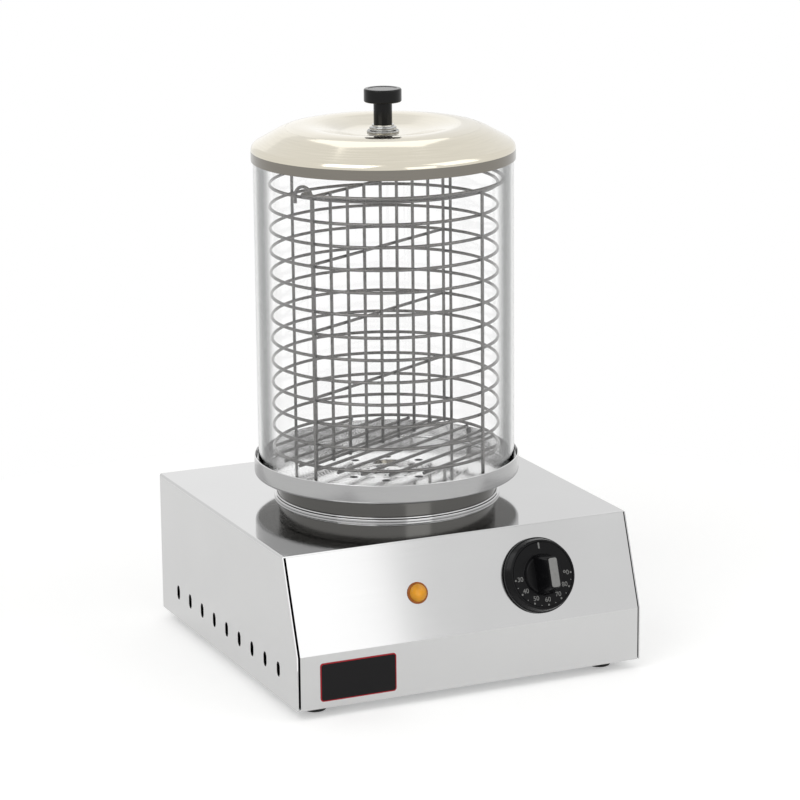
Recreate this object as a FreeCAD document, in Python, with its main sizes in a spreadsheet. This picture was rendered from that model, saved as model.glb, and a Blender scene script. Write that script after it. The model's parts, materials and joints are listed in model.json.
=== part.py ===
import FreeCAD, Part
import math
import os
import re
import Sketcher

# Hot dog steamer: a stainless base housing, a boiler pan, a perforated steam tray,
# a glass cylinder with a domed lid, and a wire basket with a divider and a bail.
# Frame: +Z up, floor at z = 0, front at -Y, origin under the middle of the housing.

SIZES = {
    # Sheet metal housing
    "HousingWidth": 284.0,
    "HousingDepth": 285.0,
    "HousingHeight": 112.0,
    "StripHeight": 41.4,
    "SlopeSetback": 25.2,
    "SheetThickness": 1.0,
    "FlangeWidth": 12.0,
    "BendRadius": 1.6,
    "PanelGap": 1.3,
    "SheetGap": 0.3,
    # Ventilation slots in the side walls
    "SlotWidth": 6.2,
    "SlotLength": 12.0,
    "SlotPitch": 26.4,
    "SlotHeight": 22.3,
    # Rubber feet, their studs and nuts
    "FootTopDiameter": 20.0,
    "FootBottomDiameter": 17.0,
    "FootHeight": 8.0,
    "FootInset": 23.0,
    "FootStudDiameter": 4.0,
    "FootStudLength": 7.0,
    "FootNutWidth": 7.0,
    "FootNutHeight": 3.2,
    "ScrewHoleGap": 0.3,
    # Screws of the housing
    "HousingScrewDiameter": 3.5,
    "HousingScrewLength": 6.0,
    "HousingScrewHead": 6.4,
    "HousingScrewHeadHeight": 1.8,
    # Boiler pan
    "PanDiameter": 170.0,
    "PanDepth": 78.0,
    "PanWall": 1.0,
    "PanNeckHeight": 18.0,
    "PanFlangeWidth": 3.4,
    "PanFlangeHeight": 3.5,
    "PanCornerRadius": 6.0,
    "PanHoleGap": 0.4,
    # Steam tray
    "TrayThickness": 1.0,
    "TrayWallHeight": 15.0,
    "TrayWallGap": 2.35,
    "TrayCollarDepth": 9.0,
    "TrayCollarGap": 0.6,
    "TrayDishDiameter": 56.0,
    "TrayDishDepth": 3.0,
    "TrayHoleDiameter": 6.6,
    "TrayHoleCircle": 71.0,
    "TrayHoleTurn": -114.6,
    "SeatGap": 0.05,
    # Glass cylinder
    "GlassDiameter": 200.0,
    "GlassWall": 3.2,
    "GlassHeight": 255.0,
    # Lid
    "LidThickness": 0.8,
    "LidFitGap": 0.7,
    "LidSkirt": 5.6,
    "LidSeatLean": 20.0,
    "LidShoulderRadius": 13.0,
    "LidCrestDiameter": 130.0,
    "LidCrestRise": 18.0,
    "LidCrestRadius": 25.0,
    "LidHollowDiameter": 56.0,
    "LidHollowDepth": 7.0,
    # Lid knob, collar and screw
    "LidKnobDiameter": 29.0,
    "LidKnobHeadHeight": 10.3,
    "LidKnobStemDiameter": 14.3,
    "LidKnobHeight": 27.5,
    "LidKnobEdge": 1.4,
    "LidCollarDiameter": 25.0,
    "LidCollarTopDiameter": 17.0,
    "LidCollarHeight": 6.0,
    "LidScrewDiameter": 5.0,
    "LidScrewHead": 9.5,
    "LidScrewHeadHeight": 3.4,
    "LidScrewReach": 20.0,
    "LidScrewGap": 0.1,
    # Wire basket
    "BasketTurn": 30.0,
    "BasketWallGap": 9.3,
    "RingWire": 2.5,
    "RingPitch": 17.2,
    "RingCount": 13,
    "BasketFootHeight": 21.2,
    "HookSpan": 15.0,
    "HookDrop": 5.5,
    "FloorPitch": 18.0,
    "FloorCount": 9,
    "DividerOffset": 4.5,
    "DividerCount": 9,
    # Bail handle
    "BailWire": 3.0,
    "BailOverhang": 1.5,
    "BailPostGap": 0.5,
    "BailSeatGap": 0.3,
    "BailStep": 24.0,
    "BailPinReach": 10.0,
    "BailBendRadius": 4.0,
    # Thermostat and its dial
    "DialOffset": 60.5,
    "DialRise": 35.2,
    "DialDiameter": 57.6,
    "DialFaceDiameter": 51.8,
    "DialHeight": 9.0,
    "DialBossDiameter": 31.0,
    "DialBossHeight": 2.6,
    "DialGap": 0.8,
    "GripLength": 31.0,
    "GripWidth": 15.0,
    "GripHeight": 20.0,
    "GripEdge": 1.2,
    "GripTaper": 10.0,
    "SpindleDiameter": 6.0,
    "SpindleReach": 14.0,
    "SpindleSocketDepth": 12.0,
    "SpindleGap": 0.05,
    "SpindleHoleGap": 1.0,
    "ThermostatWidth": 38.0,
    "ThermostatDepth": 24.0,
    "ThermostatScrewPitch": 28.0,
    "ThermostatScrewDiameter": 4.0,
    "ThermostatScrewHead": 0.5,
    # Sensing bulb and capillary
    "BulbDiameter": 6.0,
    "BulbLength": 70.0,
    "CapillaryDiameter": 2.0,
    "CapillaryOffset": 12.0,
    "CapillaryStub": 8.0,
    # Pilot lamp
    "LampOffset": 39.5,
    "LampRise": 35.0,
    "LampBezelDiameter": 16.6,
    "LampBezelHeight": 1.8,
    "LampLensDiameter": 13.6,
    "LampLensRise": 3.6,
    "LampBodyDiameter": 12.0,
    "LampBodyLength": 24.0,
    "LampGap": 0.2,
    # Heating element and its clamp
    "ElementDiameter": 126.0,
    "ElementBore": 36.0,
    "ElementThickness": 5.0,
    "ClampPlateDiameter": 110.0,
    "ClampPlateThickness": 1.5,
    "ClampStudDiameter": 6.0,
    "ClampStudLength": 16.0,
    "ClampNutWidth": 10.0,
    "ClampNutHeight": 5.0,
    "ClampGap": 0.15,
    "CutoutDiameter": 22.0,
    "CutoutHeight": 9.0,
    "CutoutOffset": 30.0,
    # Wiring pieces on the base plate
    "TerminalLength": 46.0,
    "TerminalWidth": 20.0,
    "TerminalHeight": 16.0,
    "TerminalPoleDiameter": 5.0,
    "EarthStudDiameter": 5.0,
    "EarthStudHeight": 14.0,
    # Cable entry in the rear panel
    "GlandInset": 52.0,
    "GlandHeight": 26.0,
    "GlandBore": 8.4,
    "GlandThread": 15.6,
    "GlandFlange": 24.0,
    "GlandNoseDiameter": 12.4,
    "GlandNose": 15.0,
    "GlandFlangeThickness": 5.0,
    "GlandNutThickness": 4.0,
    "GlandGap": 0.2,
    # One overrun serves every through cut
    "CutOverrun": 10.0,
}

# Places along the side flanges and on the base plate, as shares of the housing's half depth or half width.
SIDE_SCREW_SHARES = (-0.55, 0.55)
TERMINAL_PLACE_SHARES = (0.62, 0.66)
EARTH_PLACE_SHARES = (0.22, 0.76)
# Heights within the dial's skirt and the lid's collar, and the lens's flat top, as shares of the whole.
DIAL_SKIRT_SHARE = 0.25
COLLAR_FLARE_SHARE = 0.6
LENS_TOP_SHARE = 0.55
# The chords of the lid's two rolls end at these shares of the roll's angle.
SHOULDER_SHARES = (0.62, 1)
CREST_SHARES = (0, 1)
# Wires are six-sided with a flat above and below, so that crossing wires meet face to face.
RING_SIDES = 20
WIRE_FACETS = 6
HOOK_STEPS = 5
BAIL_STEPS = 16
BAIL_BEND_STEPS = 2
TRAY_HOLES = 8
# Small screws, studs and holes have eight sides, nuts six, cans twelve, feet sixteen, discs twenty-four.
SMALL_SIDES = 8
NUT_SIDES = 6
CAN_SIDES = 12
FOOT_SIDES = 16
DISC_SIDES = 24
SLOT_COUNT = 9
TERMINAL_POLES = 3

doc = FreeCAD.newDocument("HotDogSteamer")
sheet = doc.addObject("Spreadsheet::Sheet", "Sizes")
for row, (alias, amount) in enumerate(SIZES.items(), start=1):
    sheet.set(f"A{row}", alias)
    sheet.set(f"B{row}", str(amount))
    sheet.setAlias(f"B{row}", alias)
doc.recompute()

NODES = []


# Sizes and expressions

def bind(text):
    """Turn names of sizes into references to the sheet."""
    return re.sub(r"[A-Z][A-Za-z]+", lambda found: "Sizes." + found.group(0), str(text))


def number(text):
    """Work out an expression of sizes."""
    answer = sheet.evalExpression(bind(text))
    return float(getattr(answer, "Value", answer))


def tie(thing, **bindings):
    """Bind properties of an object to expressions of sizes."""
    for name, text in bindings.items():
        thing.setExpression(name.replace("__", "."), bind(text))


def keep(thing, node):
    """Name an object as one sub-part of the steamer."""
    thing.Label = node
    NODES.append(thing)
    return thing


HALF_WIDTH = "(HousingWidth / 2)"
HALF_DEPTH = "(HousingDepth / 2)"
FLOOR_Z = "FootHeight"
TOP_Z = "(FootHeight + HousingHeight)"
BEND_Z = "(FootHeight + StripHeight)"
SLOPE_RISE = "(HousingHeight - StripHeight)"
SLOPE_ANGLE = f"atan2({SLOPE_RISE}; SlopeSetback)"
SLOPE_LEAN = f"atan2(SlopeSetback; {SLOPE_RISE})"
TRAY_FLOOR_Z = f"({TOP_Z} + PanNeckHeight + SeatGap)"
DECK_Z = f"({TRAY_FLOOR_Z} + TrayThickness)"
GLASS_RADIUS = "(GlassDiameter / 2)"
GLASS_BORE = "(GlassDiameter / 2 - GlassWall)"
GLASS_TOP = f"({DECK_Z} + GlassHeight)"
PLATE_Z = "(FootHeight + SheetThickness)"
# The pan, the tray, the glass and the basket stand in the middle of the housing's flat top.
BOILER_Y = "(SlopeSetback / 2)"
# Half the corner angle of a 45 degree bend, and of the small round sections with flat sides.
BEND_MITRE = "tan(22.5)"
SMALL_CORNER = f"cos({180 / SMALL_SIDES})"
WIRE_CORNER = f"cos({180 / WIRE_FACETS})"


# Sketches

def new_body(node):
    body = doc.addObject("PartDesign::Body", node + "_body")
    keep(body, node)
    return body


def new_sketch(body, plane, name="profile"):
    sketch = body.newObject("Sketcher::SketchObject", name)
    origin_plane = [item for item in body.Origin.OriginFeatures if item.Role == plane][0]
    sketch.AttachmentSupport = (origin_plane, [""])
    sketch.MapMode = "FlatFace"
    return sketch


def pin_point(sketch, limits, edge, end, x_text, y_text):
    """Hold one point of a sketch at a place written in sizes."""
    for axis_name, axis_edge, text in (("DistanceX", -2, x_text), ("DistanceY", -1, y_text)):
        amount = number(text)
        if abs(amount) < 1e-9:
            limits.append((Sketcher.Constraint("PointOnObject", edge, end, axis_edge), None))
        else:
            limits.append((Sketcher.Constraint(axis_name, -1, 1, edge, end, amount), text))


def apply_limits(sketch, limits):
    for constraint, text in limits:
        index = sketch.addConstraint(constraint)
        if text is not None:
            sketch.setExpression(f"Constraints[{index}]", bind(text))


def outline(sketch, corners):
    """Draw a closed outline. A corner (x, y, centre_x, centre_y, turn) is reached by an arc."""
    places = [FreeCAD.Vector(number(corner[0]), number(corner[1]), 0) for corner in corners]
    limits = []
    ends = []
    for index, corner in enumerate(corners):
        start = places[index - 1]
        finish = places[index]
        if len(corner) == 2:
            edge = sketch.addGeometry(Part.LineSegment(start, finish), False)
            ends.append((edge, 1, 2))
            continue
        centre = FreeCAD.Vector(number(corner[2]), number(corner[3]), 0)
        circle = Part.Circle(centre, FreeCAD.Vector(0, 0, 1), (finish - centre).Length)
        first, last = (start, finish) if corner[4] > 0 else (finish, start)
        arc = Part.ArcOfCircle(circle, circle.parameter(first), circle.parameter(last))
        edge = sketch.addGeometry(arc, False)
        ends.append((edge, 1, 2) if corner[4] > 0 else (edge, 2, 1))
        wide = abs(finish.x - start.x) > abs(finish.y - start.y)
        axis_name, axis_edge, text = (
            ("DistanceY", -1, corner[3]) if wide else ("DistanceX", -2, corner[2]))
        if abs(number(text)) < 1e-9:
            limits.append((Sketcher.Constraint("PointOnObject", edge, 3, axis_edge), None))
        else:
            limits.append((Sketcher.Constraint(axis_name, -1, 1, edge, 3, number(text)), text))
    for index, corner in enumerate(corners):
        edge, _, end = ends[index]
        after, start, _ = ends[(index + 1) % len(ends)]
        limits.append((Sketcher.Constraint("Coincident", edge, end, after, start), None))
        pin_point(sketch, limits, edge, end, corner[0], corner[1])
    apply_limits(sketch, limits)


def circles(sketch, places, radius_text):
    """Draw circles of one radius at places written in sizes."""
    limits = []
    for x_text, y_text in places:
        centre = FreeCAD.Vector(number(x_text), number(y_text), 0)
        edge = sketch.addGeometry(Part.Circle(centre, FreeCAD.Vector(0, 0, 1), number(radius_text)), False)
        pin_point(sketch, limits, edge, 3, x_text, y_text)
        limits.append((Sketcher.Constraint("Radius", edge, number(radius_text)), radius_text))
    apply_limits(sketch, limits)


def small_rounds(sketch, places, radius_text, sides=SMALL_SIDES):
    """Draw small rounds as regular polygons whose flats lie at a radius written in sizes."""
    half_turn = 180 / sides
    for x_text, y_text in places:
        outline(sketch, [
            (f"{x_text} + ({radius_text}) / cos({half_turn}) * cos({half_turn * (2 * index + 1)})",
             f"{y_text} + ({radius_text}) / cos({half_turn}) * sin({half_turn * (2 * index + 1)})")
            for index in range(sides)])


def rectangle(x_low, x_high, y_low, y_high):
    return [(x_low, y_low), (x_high, y_low), (x_high, y_high), (x_low, y_high)]


# Features

def pad(body, sketch, length, symmetric=False, reversed_way=False):
    feature = body.newObject("PartDesign::Pad", "pad")
    feature.Profile = sketch
    feature.SideType = "Symmetric" if symmetric else "One side"
    feature.Reversed = reversed_way
    tie(feature, Length=length)
    return feature


def pocket(body, sketch, length, symmetric=False, reversed_way=False):
    before = volume_of(body)
    feature = body.newObject("PartDesign::Pocket", "pocket")
    feature.Profile = sketch
    feature.SideType = "Symmetric" if symmetric else "One side"
    feature.Reversed = reversed_way
    tie(feature, Length=length)
    doc.recompute()
    if body.Shape.Volume >= before:
        raise RuntimeError(f"the pocket of {body.Label} cuts nothing")
    return feature


def volume_of(body):
    doc.recompute()
    return body.Shape.Volume


def revolve(body, corners):
    """Turn a profile in the XZ plane about the body's own Z axis."""
    sketch = new_sketch(body, "XZ_Plane")
    outline(sketch, corners)
    feature = body.newObject("PartDesign::Revolution", "turn")
    feature.Profile = sketch
    feature.ReferenceAxis = (sketch, ["V_Axis"])
    feature.Angle = 360.0
    return feature


def repeat_round(body, feature, sketch, count):
    pattern = body.newObject("PartDesign::PolarPattern", "round")
    pattern.Originals = [feature]
    pattern.Axis = (sketch, ["N_Axis"])
    pattern.Angle = 360.0
    pattern.Occurrences = count
    body.Tip = pattern
    return pattern


def on_slope(thing, x_text, rise_text):
    """Stand a sub-part on the sloped panel, its own Z along the panel's outward normal."""
    thing.Placement = FreeCAD.Placement(FreeCAD.Vector(), FreeCAD.Rotation(FreeCAD.Vector(1, 0, 0), 1))
    tie(
        thing,
        Placement__Base__x=x_text,
        Placement__Base__y=f"-{HALF_DEPTH} + ({rise_text}) * cos({SLOPE_ANGLE})",
        Placement__Base__z=f"{BEND_Z} + ({rise_text}) * sin({SLOPE_ANGLE})",
        Placement__Rotation__Angle=SLOPE_ANGLE,
    )


def hold_on_slope(sketch, x_text, rise_text):
    """Lay a sketch on the sloped panel's outer face."""
    sketch.AttachmentOffset = FreeCAD.Placement(
        FreeCAD.Vector(), FreeCAD.Rotation(FreeCAD.Vector(1, 0, 0), 1))
    tie(
        sketch,
        AttachmentOffset__Base__x=x_text,
        AttachmentOffset__Base__y=f"-{HALF_DEPTH} + ({rise_text}) * cos({SLOPE_ANGLE})",
        AttachmentOffset__Base__z=f"{BEND_Z} + ({rise_text}) * sin({SLOPE_ANGLE})",
        AttachmentOffset__Rotation__Angle=SLOPE_ANGLE,
    )


def stand_at(thing, x_text, y_text, z_text):
    tie(thing, Placement__Base__x=x_text, Placement__Base__y=y_text, Placement__Base__z=z_text)


def on_boiler(thing):
    tie(thing, Placement__Base__y=BOILER_Y)


def prism(name, sides, half_width, height, x_text="0", y_text="0", z_text="0"):
    """Upright regular prism, its flats at half_width from its axis."""
    thing = doc.addObject("Part::Prism", name)
    thing.Polygon = sides
    thing.Placement = FreeCAD.Placement(
        FreeCAD.Vector(), FreeCAD.Rotation(FreeCAD.Vector(0, 0, 1), 180 / sides))
    tie(thing, Circumradius=f"({half_width}) / cos({180 / sides})", Height=height)
    stand_at(thing, x_text, y_text, z_text)
    return thing


def box(name, length, width, height, x_text, y_text, z_text):
    thing = doc.addObject("Part::Box", name)
    tie(thing, Length=length, Width=width, Height=height)
    stand_at(thing, x_text, y_text, z_text)
    return thing


def fuse(name, parts):
    thing = doc.addObject("Part::MultiFuse", name)
    thing.Shapes = parts
    return thing


def cut(name, base, tool):
    thing = doc.addObject("Part::Cut", name)
    thing.Base = base
    thing.Tool = tool
    return thing


def group(node, parts):
    """Keep separate like solids together as one sub-part."""
    thing = doc.addObject("Part::Compound", node + "_group")
    thing.Links = parts
    keep(thing, node)
    return thing


# Housing

def sheet_band(corners, thickness):
    """Outline of a folded sheet from the corners of its outer side, each with its inward shift shares."""
    inner = []
    for x_text, y_text, x_share, y_share in reversed(corners):
        inner.append((f"{x_text} + ({x_share}) * {thickness}", f"{y_text} + ({y_share}) * {thickness}"))
    return [(corner[0], corner[1]) for corner in corners] + inner


def base_screw_places():
    """Screws through the cover's bottom flanges, two in each side wall."""
    side_x = f"({HALF_WIDTH} - SheetThickness - FlangeWidth / 2)"
    return [
        (f"{sign} * {side_x}", f"{share} * {HALF_DEPTH}")
        for sign in (-1, 1) for share in SIDE_SCREW_SHARES]


def foot_places():
    x_text = f"({HALF_WIDTH} - FootInset)"
    y_text = f"({HALF_DEPTH} - FootInset)"
    return [(f"{left} * {x_text}", f"{front} * {y_text}") for left in (-1, 1) for front in (-1, 1)]


def screw_holes(body, places, radius_text):
    sketch = new_sketch(body, "XY_Plane", "holes")
    tie(sketch, AttachmentOffset__Base__z=FLOOR_Z)
    small_rounds(sketch, places, radius_text)
    pocket(body, sketch, "CutOverrun", symmetric=True)


def make_housing_cover():
    """Top and both side walls, folded from one sheet, with vent slots and the pan's opening."""
    body = new_body("housing_cover")
    inner_x = f"({HALF_WIDTH} - SheetThickness)"
    inner_top = f"({TOP_Z} - SheetThickness)"
    flange_x = f"({inner_x} - FlangeWidth)"
    bend_x = f"({HALF_WIDTH} - BendRadius)"
    bend_z = f"({TOP_Z} - BendRadius)"
    section = new_sketch(body, "XZ_Plane")
    outline(section, [
        (f"-{flange_x}", FLOOR_Z),
        (f"-{HALF_WIDTH}", FLOOR_Z),
        (f"-{HALF_WIDTH}", bend_z),
        (f"-{bend_x}", TOP_Z, f"-{bend_x}", bend_z, -1),
        (bend_x, TOP_Z),
        (HALF_WIDTH, bend_z, bend_x, bend_z, -1),
        (HALF_WIDTH, FLOOR_Z),
        (flange_x, FLOOR_Z),
        (flange_x, PLATE_Z),
        (inner_x, PLATE_Z),
        (inner_x, inner_top),
        (f"-{inner_x}", inner_top),
        (f"-{inner_x}", PLATE_Z),
        (f"-{flange_x}", PLATE_Z),
    ])
    pad(body, section, "HousingDepth", symmetric=True)
    front = new_sketch(body, "YZ_Plane", "front_edge")
    outline(front, [
        (f"-{HALF_DEPTH}", BEND_Z),
        (f"-{HALF_DEPTH} + SlopeSetback", TOP_Z),
        (f"-{HALF_DEPTH} + SlopeSetback", f"{TOP_Z} + CutOverrun"),
        (f"-{HALF_DEPTH} - CutOverrun", f"{TOP_Z} + CutOverrun"),
        (f"-{HALF_DEPTH} - CutOverrun", BEND_Z),
    ])
    pocket(body, front, "HousingWidth + CutOverrun", symmetric=True)
    for sign in (-1, 1):
        notch = new_sketch(body, "XY_Plane", "flange_notch")
        tie(notch, AttachmentOffset__Base__z=FLOOR_Z)
        low, high = (f"{HALF_DEPTH} - FlangeWidth - 2 * SheetThickness", f"{HALF_DEPTH} + CutOverrun")
        ends = (f"-({high})", f"-({low})") if sign < 0 else (low, high)
        outline(notch, rectangle(f"-{inner_x}", inner_x, ends[0], ends[1]))
        pocket(body, notch, "2 * SheetThickness", symmetric=True)
    slot = new_sketch(body, "YZ_Plane", "slot")
    end_y = f"({SLOT_COUNT - 1} * SlotPitch / 2)"
    low_z = f"({FLOOR_Z} + SlotHeight - SlotLength / 2 + SlotWidth / 2)"
    high_z = f"({FLOOR_Z} + SlotHeight + SlotLength / 2 - SlotWidth / 2)"
    corners = []
    for z_text, way in ((low_z, -1), (high_z, 1)):
        for lean in (0, 60, 120, 180):
            corners.append((f"-{end_y} + {way} * SlotWidth / 2 * cos({lean})",
                            f"{z_text} + {way} * SlotWidth / 2 * sin({lean})"))
    outline(slot, corners)
    slots = pocket(body, slot, "HousingWidth + CutOverrun", symmetric=True)
    row = body.newObject("PartDesign::LinearPattern", "slot_row")
    row.Originals = [slots]
    row.Direction = (slot, ["H_Axis"])
    row.Occurrences = SLOT_COUNT
    tie(row, Length=f"{SLOT_COUNT - 1} * SlotPitch")
    body.Tip = row
    opening = new_sketch(body, "XY_Plane", "pan_opening")
    tie(opening, AttachmentOffset__Base__z=TOP_Z)
    circles(opening, [("0", BOILER_Y)], "PanDiameter / 2 + PanHoleGap")
    pocket(body, opening, "CutOverrun", symmetric=True)
    screw_holes(body, base_screw_places(), "HousingScrewDiameter / 2 + ScrewHoleGap")


def make_front_panel():
    """Strip and sloped control panel, folded from one sheet, standing between the side walls."""
    body = new_body("front_panel")
    tuck_share = f"(({SLOPE_RISE} - SheetThickness) / {SLOPE_RISE})"
    slope_top_y = f"(-{HALF_DEPTH} + SlopeSetback * {tuck_share})"
    under_top = f"({TOP_Z} - SheetThickness)"
    section = new_sketch(body, "YZ_Plane")
    outline(section, sheet_band([
        (f"-{HALF_DEPTH} + FlangeWidth", FLOOR_Z, "0", "1"),
        (f"-{HALF_DEPTH}", FLOOR_Z, "1", "1"),
        (f"-{HALF_DEPTH}", BEND_Z, "1", f"-tan({SLOPE_LEAN} / 2)"),
        (slope_top_y, under_top, f"tan({SLOPE_ANGLE} / 2)", "-1"),
        (f"{slope_top_y} + FlangeWidth", under_top, "0", "-1"),
    ], "SheetThickness"))
    pad(body, section, "HousingWidth - 2 * (SheetThickness + PanelGap)", symmetric=True)
    for x_text, rise_text, radius_text in (
            ("DialOffset", "DialRise", "SpindleDiameter / 2 + SpindleHoleGap"),
            ("-LampOffset", "LampRise", f"LampBodyDiameter / 2 / {SMALL_CORNER} + LampGap")):
        hole = new_sketch(body, "XY_Plane", "panel_hole")
        hold_on_slope(hole, x_text, rise_text)
        circles(hole, [("0", "0")], radius_text)
        pocket(body, hole, "CutOverrun", symmetric=True)
    holes = new_sketch(body, "XY_Plane", "thermostat_screw_holes")
    hold_on_slope(holes, "DialOffset", "DialRise")
    small_rounds(holes, thermostat_screw_places(), "ThermostatScrewDiameter / 2 + ScrewHoleGap")
    pocket(body, holes, "CutOverrun", symmetric=True)


def make_rear_panel():
    """Upright rear sheet with flanges at its top and bottom, and the cable gland's hole."""
    body = new_body("rear_panel")
    under_top = f"({TOP_Z} - SheetThickness)"
    section = new_sketch(body, "YZ_Plane")
    outline(section, sheet_band([
        (f"{HALF_DEPTH} - FlangeWidth", under_top, "0", "-1"),
        (HALF_DEPTH, under_top, "-1", "-1"),
        (HALF_DEPTH, FLOOR_Z, "-1", "1"),
        (f"{HALF_DEPTH} - FlangeWidth", FLOOR_Z, "0", "1"),
    ], "SheetThickness"))
    pad(body, section, "HousingWidth - 2 * (SheetThickness + SheetGap)", symmetric=True)
    hole = new_sketch(body, "XZ_Plane", "gland_hole")
    tie(hole, AttachmentOffset__Base__z=f"-{HALF_DEPTH}")
    circles(hole, [(f"{HALF_WIDTH} - GlandInset", f"{FLOOR_Z} + GlandHeight")], "GlandThread / 2 + GlandGap")
    pocket(body, hole, "CutOverrun", symmetric=True)


def make_base_plate():
    """Flat plate that closes the housing from below and carries the feet."""
    body = new_body("base_plate")
    section = new_sketch(body, "XY_Plane")
    tie(section, AttachmentOffset__Base__z=PLATE_Z)
    half_x = f"({HALF_WIDTH} - SheetThickness - SheetGap)"
    half_y = f"({HALF_DEPTH} - SheetThickness - SheetGap)"
    outline(section, rectangle(f"-{half_x}", half_x, f"-{half_y}", half_y))
    pad(body, section, "SheetThickness")
    screw_holes(body, base_screw_places(), "HousingScrewDiameter / 2 + ScrewHoleGap")
    screw_holes(body, foot_places(), "FootStudDiameter / 2 + ScrewHoleGap")


def make_housing_screws():
    screws = []
    for index, (x_text, y_text) in enumerate(base_screw_places()):
        shank = prism(f"screw_shank_{index}", SMALL_SIDES, "HousingScrewDiameter / 2",
                      "HousingScrewLength", x_text, y_text, FLOOR_Z)
        head = prism(f"screw_head_{index}", SMALL_SIDES, "HousingScrewHead / 2",
                     "HousingScrewHeadHeight", x_text, y_text, f"{FLOOR_Z} - HousingScrewHeadHeight")
        screws.append(fuse(f"housing_screw_{index}", [shank, head]))
    group("housing_screws", screws)


def make_feet():
    """Tapered rubber feet, each with a stud through the base plate and a nut on it."""
    feet = new_body("rubber_feet")
    soles = new_sketch(feet, "XY_Plane", "soles")
    small_rounds(soles, foot_places(), "FootBottomDiameter / 2", FOOT_SIDES)
    flare = pad(feet, soles, PLATE_Z)
    tie(flare, TaperAngle=f"atan2(FootTopDiameter - FootBottomDiameter; 2 * {PLATE_Z})")
    studs = []
    nuts = []
    nut_z = f"{PLATE_Z} + SheetThickness"
    for index, (x_text, y_text) in enumerate(foot_places()):
        studs.append(prism(f"foot_stud_{index}", SMALL_SIDES, "FootStudDiameter / 2",
                           "FootStudLength", x_text, y_text, PLATE_Z))
        block = prism(f"foot_nut_block_{index}", NUT_SIDES, "FootNutWidth / 2", "FootNutHeight",
                      x_text, y_text, nut_z)
        bore = prism(f"foot_nut_bore_{index}", SMALL_SIDES, "FootStudDiameter / 2",
                     "FootNutHeight", x_text, y_text, nut_z)
        nuts.append(cut(f"foot_nut_{index}", block, bore))
    group("foot_studs", studs)
    group("foot_nuts", nuts)


# Boiler pan, heater and wiring pieces

PAN_RADIUS = "(PanDiameter / 2)"
PAN_RIM_Z = f"({TOP_Z} + PanNeckHeight)"
PAN_FLOOR_Z = f"({PAN_RIM_Z} - PanDepth)"


def make_boiler_pan():
    """Deep drawn pan that hangs in the housing's top by a pressed flange and carries the tray on its rim."""
    body = new_body("boiler_pan")
    bore = f"({PAN_RADIUS} - PanWall)"
    revolve(body, [
        ("0", PAN_FLOOR_Z),
        (f"{PAN_RADIUS} - PanCornerRadius", PAN_FLOOR_Z),
        (PAN_RADIUS, f"{PAN_FLOOR_Z} + PanCornerRadius"),
        (PAN_RADIUS, TOP_Z),
        (f"{PAN_RADIUS} + PanFlangeWidth", TOP_Z),
        (f"{PAN_RADIUS} + PanFlangeWidth", f"{TOP_Z} + PanFlangeHeight"),
        (PAN_RADIUS, f"{TOP_Z} + PanFlangeHeight"),
        (PAN_RADIUS, PAN_RIM_Z),
        (bore, PAN_RIM_Z),
        (bore, f"{PAN_FLOOR_Z} + PanCornerRadius + PanWall * {BEND_MITRE}"),
        (f"{PAN_RADIUS} - PanCornerRadius - PanWall * {BEND_MITRE}", f"{PAN_FLOOR_Z} + PanWall"),
        ("0", f"{PAN_FLOOR_Z} + PanWall"),
    ])
    on_boiler(body)


def ring_blank(name, outer, inner, height, z_text):
    """Flat ring about the boiler's axis."""
    disc = prism(name + "_disc", DISC_SIDES, f"{outer} / 2", height, "0", BOILER_Y, z_text)
    hole = prism(name + "_hole", SMALL_SIDES, f"{inner} / 2", height, "0", BOILER_Y, z_text)
    return cut(name, disc, hole)


def make_heater():
    """Ring element under the pan, pressed up by a plate on the pan's centre stud."""
    element_z = f"({PAN_FLOOR_Z} - ElementThickness)"
    plate_z = f"({element_z} - ClampPlateThickness)"
    keep(ring_blank("element_ring", "ElementDiameter", "ElementBore", "ElementThickness", element_z),
         "heating_element")
    keep(ring_blank("clamp_ring", "ClampPlateDiameter", "(ClampStudDiameter + 2 * ClampGap)",
                    "ClampPlateThickness", plate_z), "element_clamp_plate")
    keep(prism("stud_rod", SMALL_SIDES, "ClampStudDiameter / 2", "ClampStudLength", "0", BOILER_Y,
               f"{PAN_FLOOR_Z} - ClampStudLength"), "clamp_stud")
    nut_z = f"{plate_z} - ClampNutHeight"
    nut = prism("clamp_nut_block", NUT_SIDES, "ClampNutWidth / 2", "ClampNutHeight",
                "0", BOILER_Y, nut_z)
    nut_bore = prism("clamp_nut_bore", SMALL_SIDES, "ClampStudDiameter / 2", "ClampNutHeight",
                     "0", BOILER_Y, nut_z)
    keep(cut("clamp_nut_cut", nut, nut_bore), "clamp_nut")
    keep(prism("cutout_can", CAN_SIDES, "CutoutDiameter / 2", "CutoutHeight",
               "CutoutOffset", BOILER_Y, f"{plate_z} - CutoutHeight"), "overheat_cutout")


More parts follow.
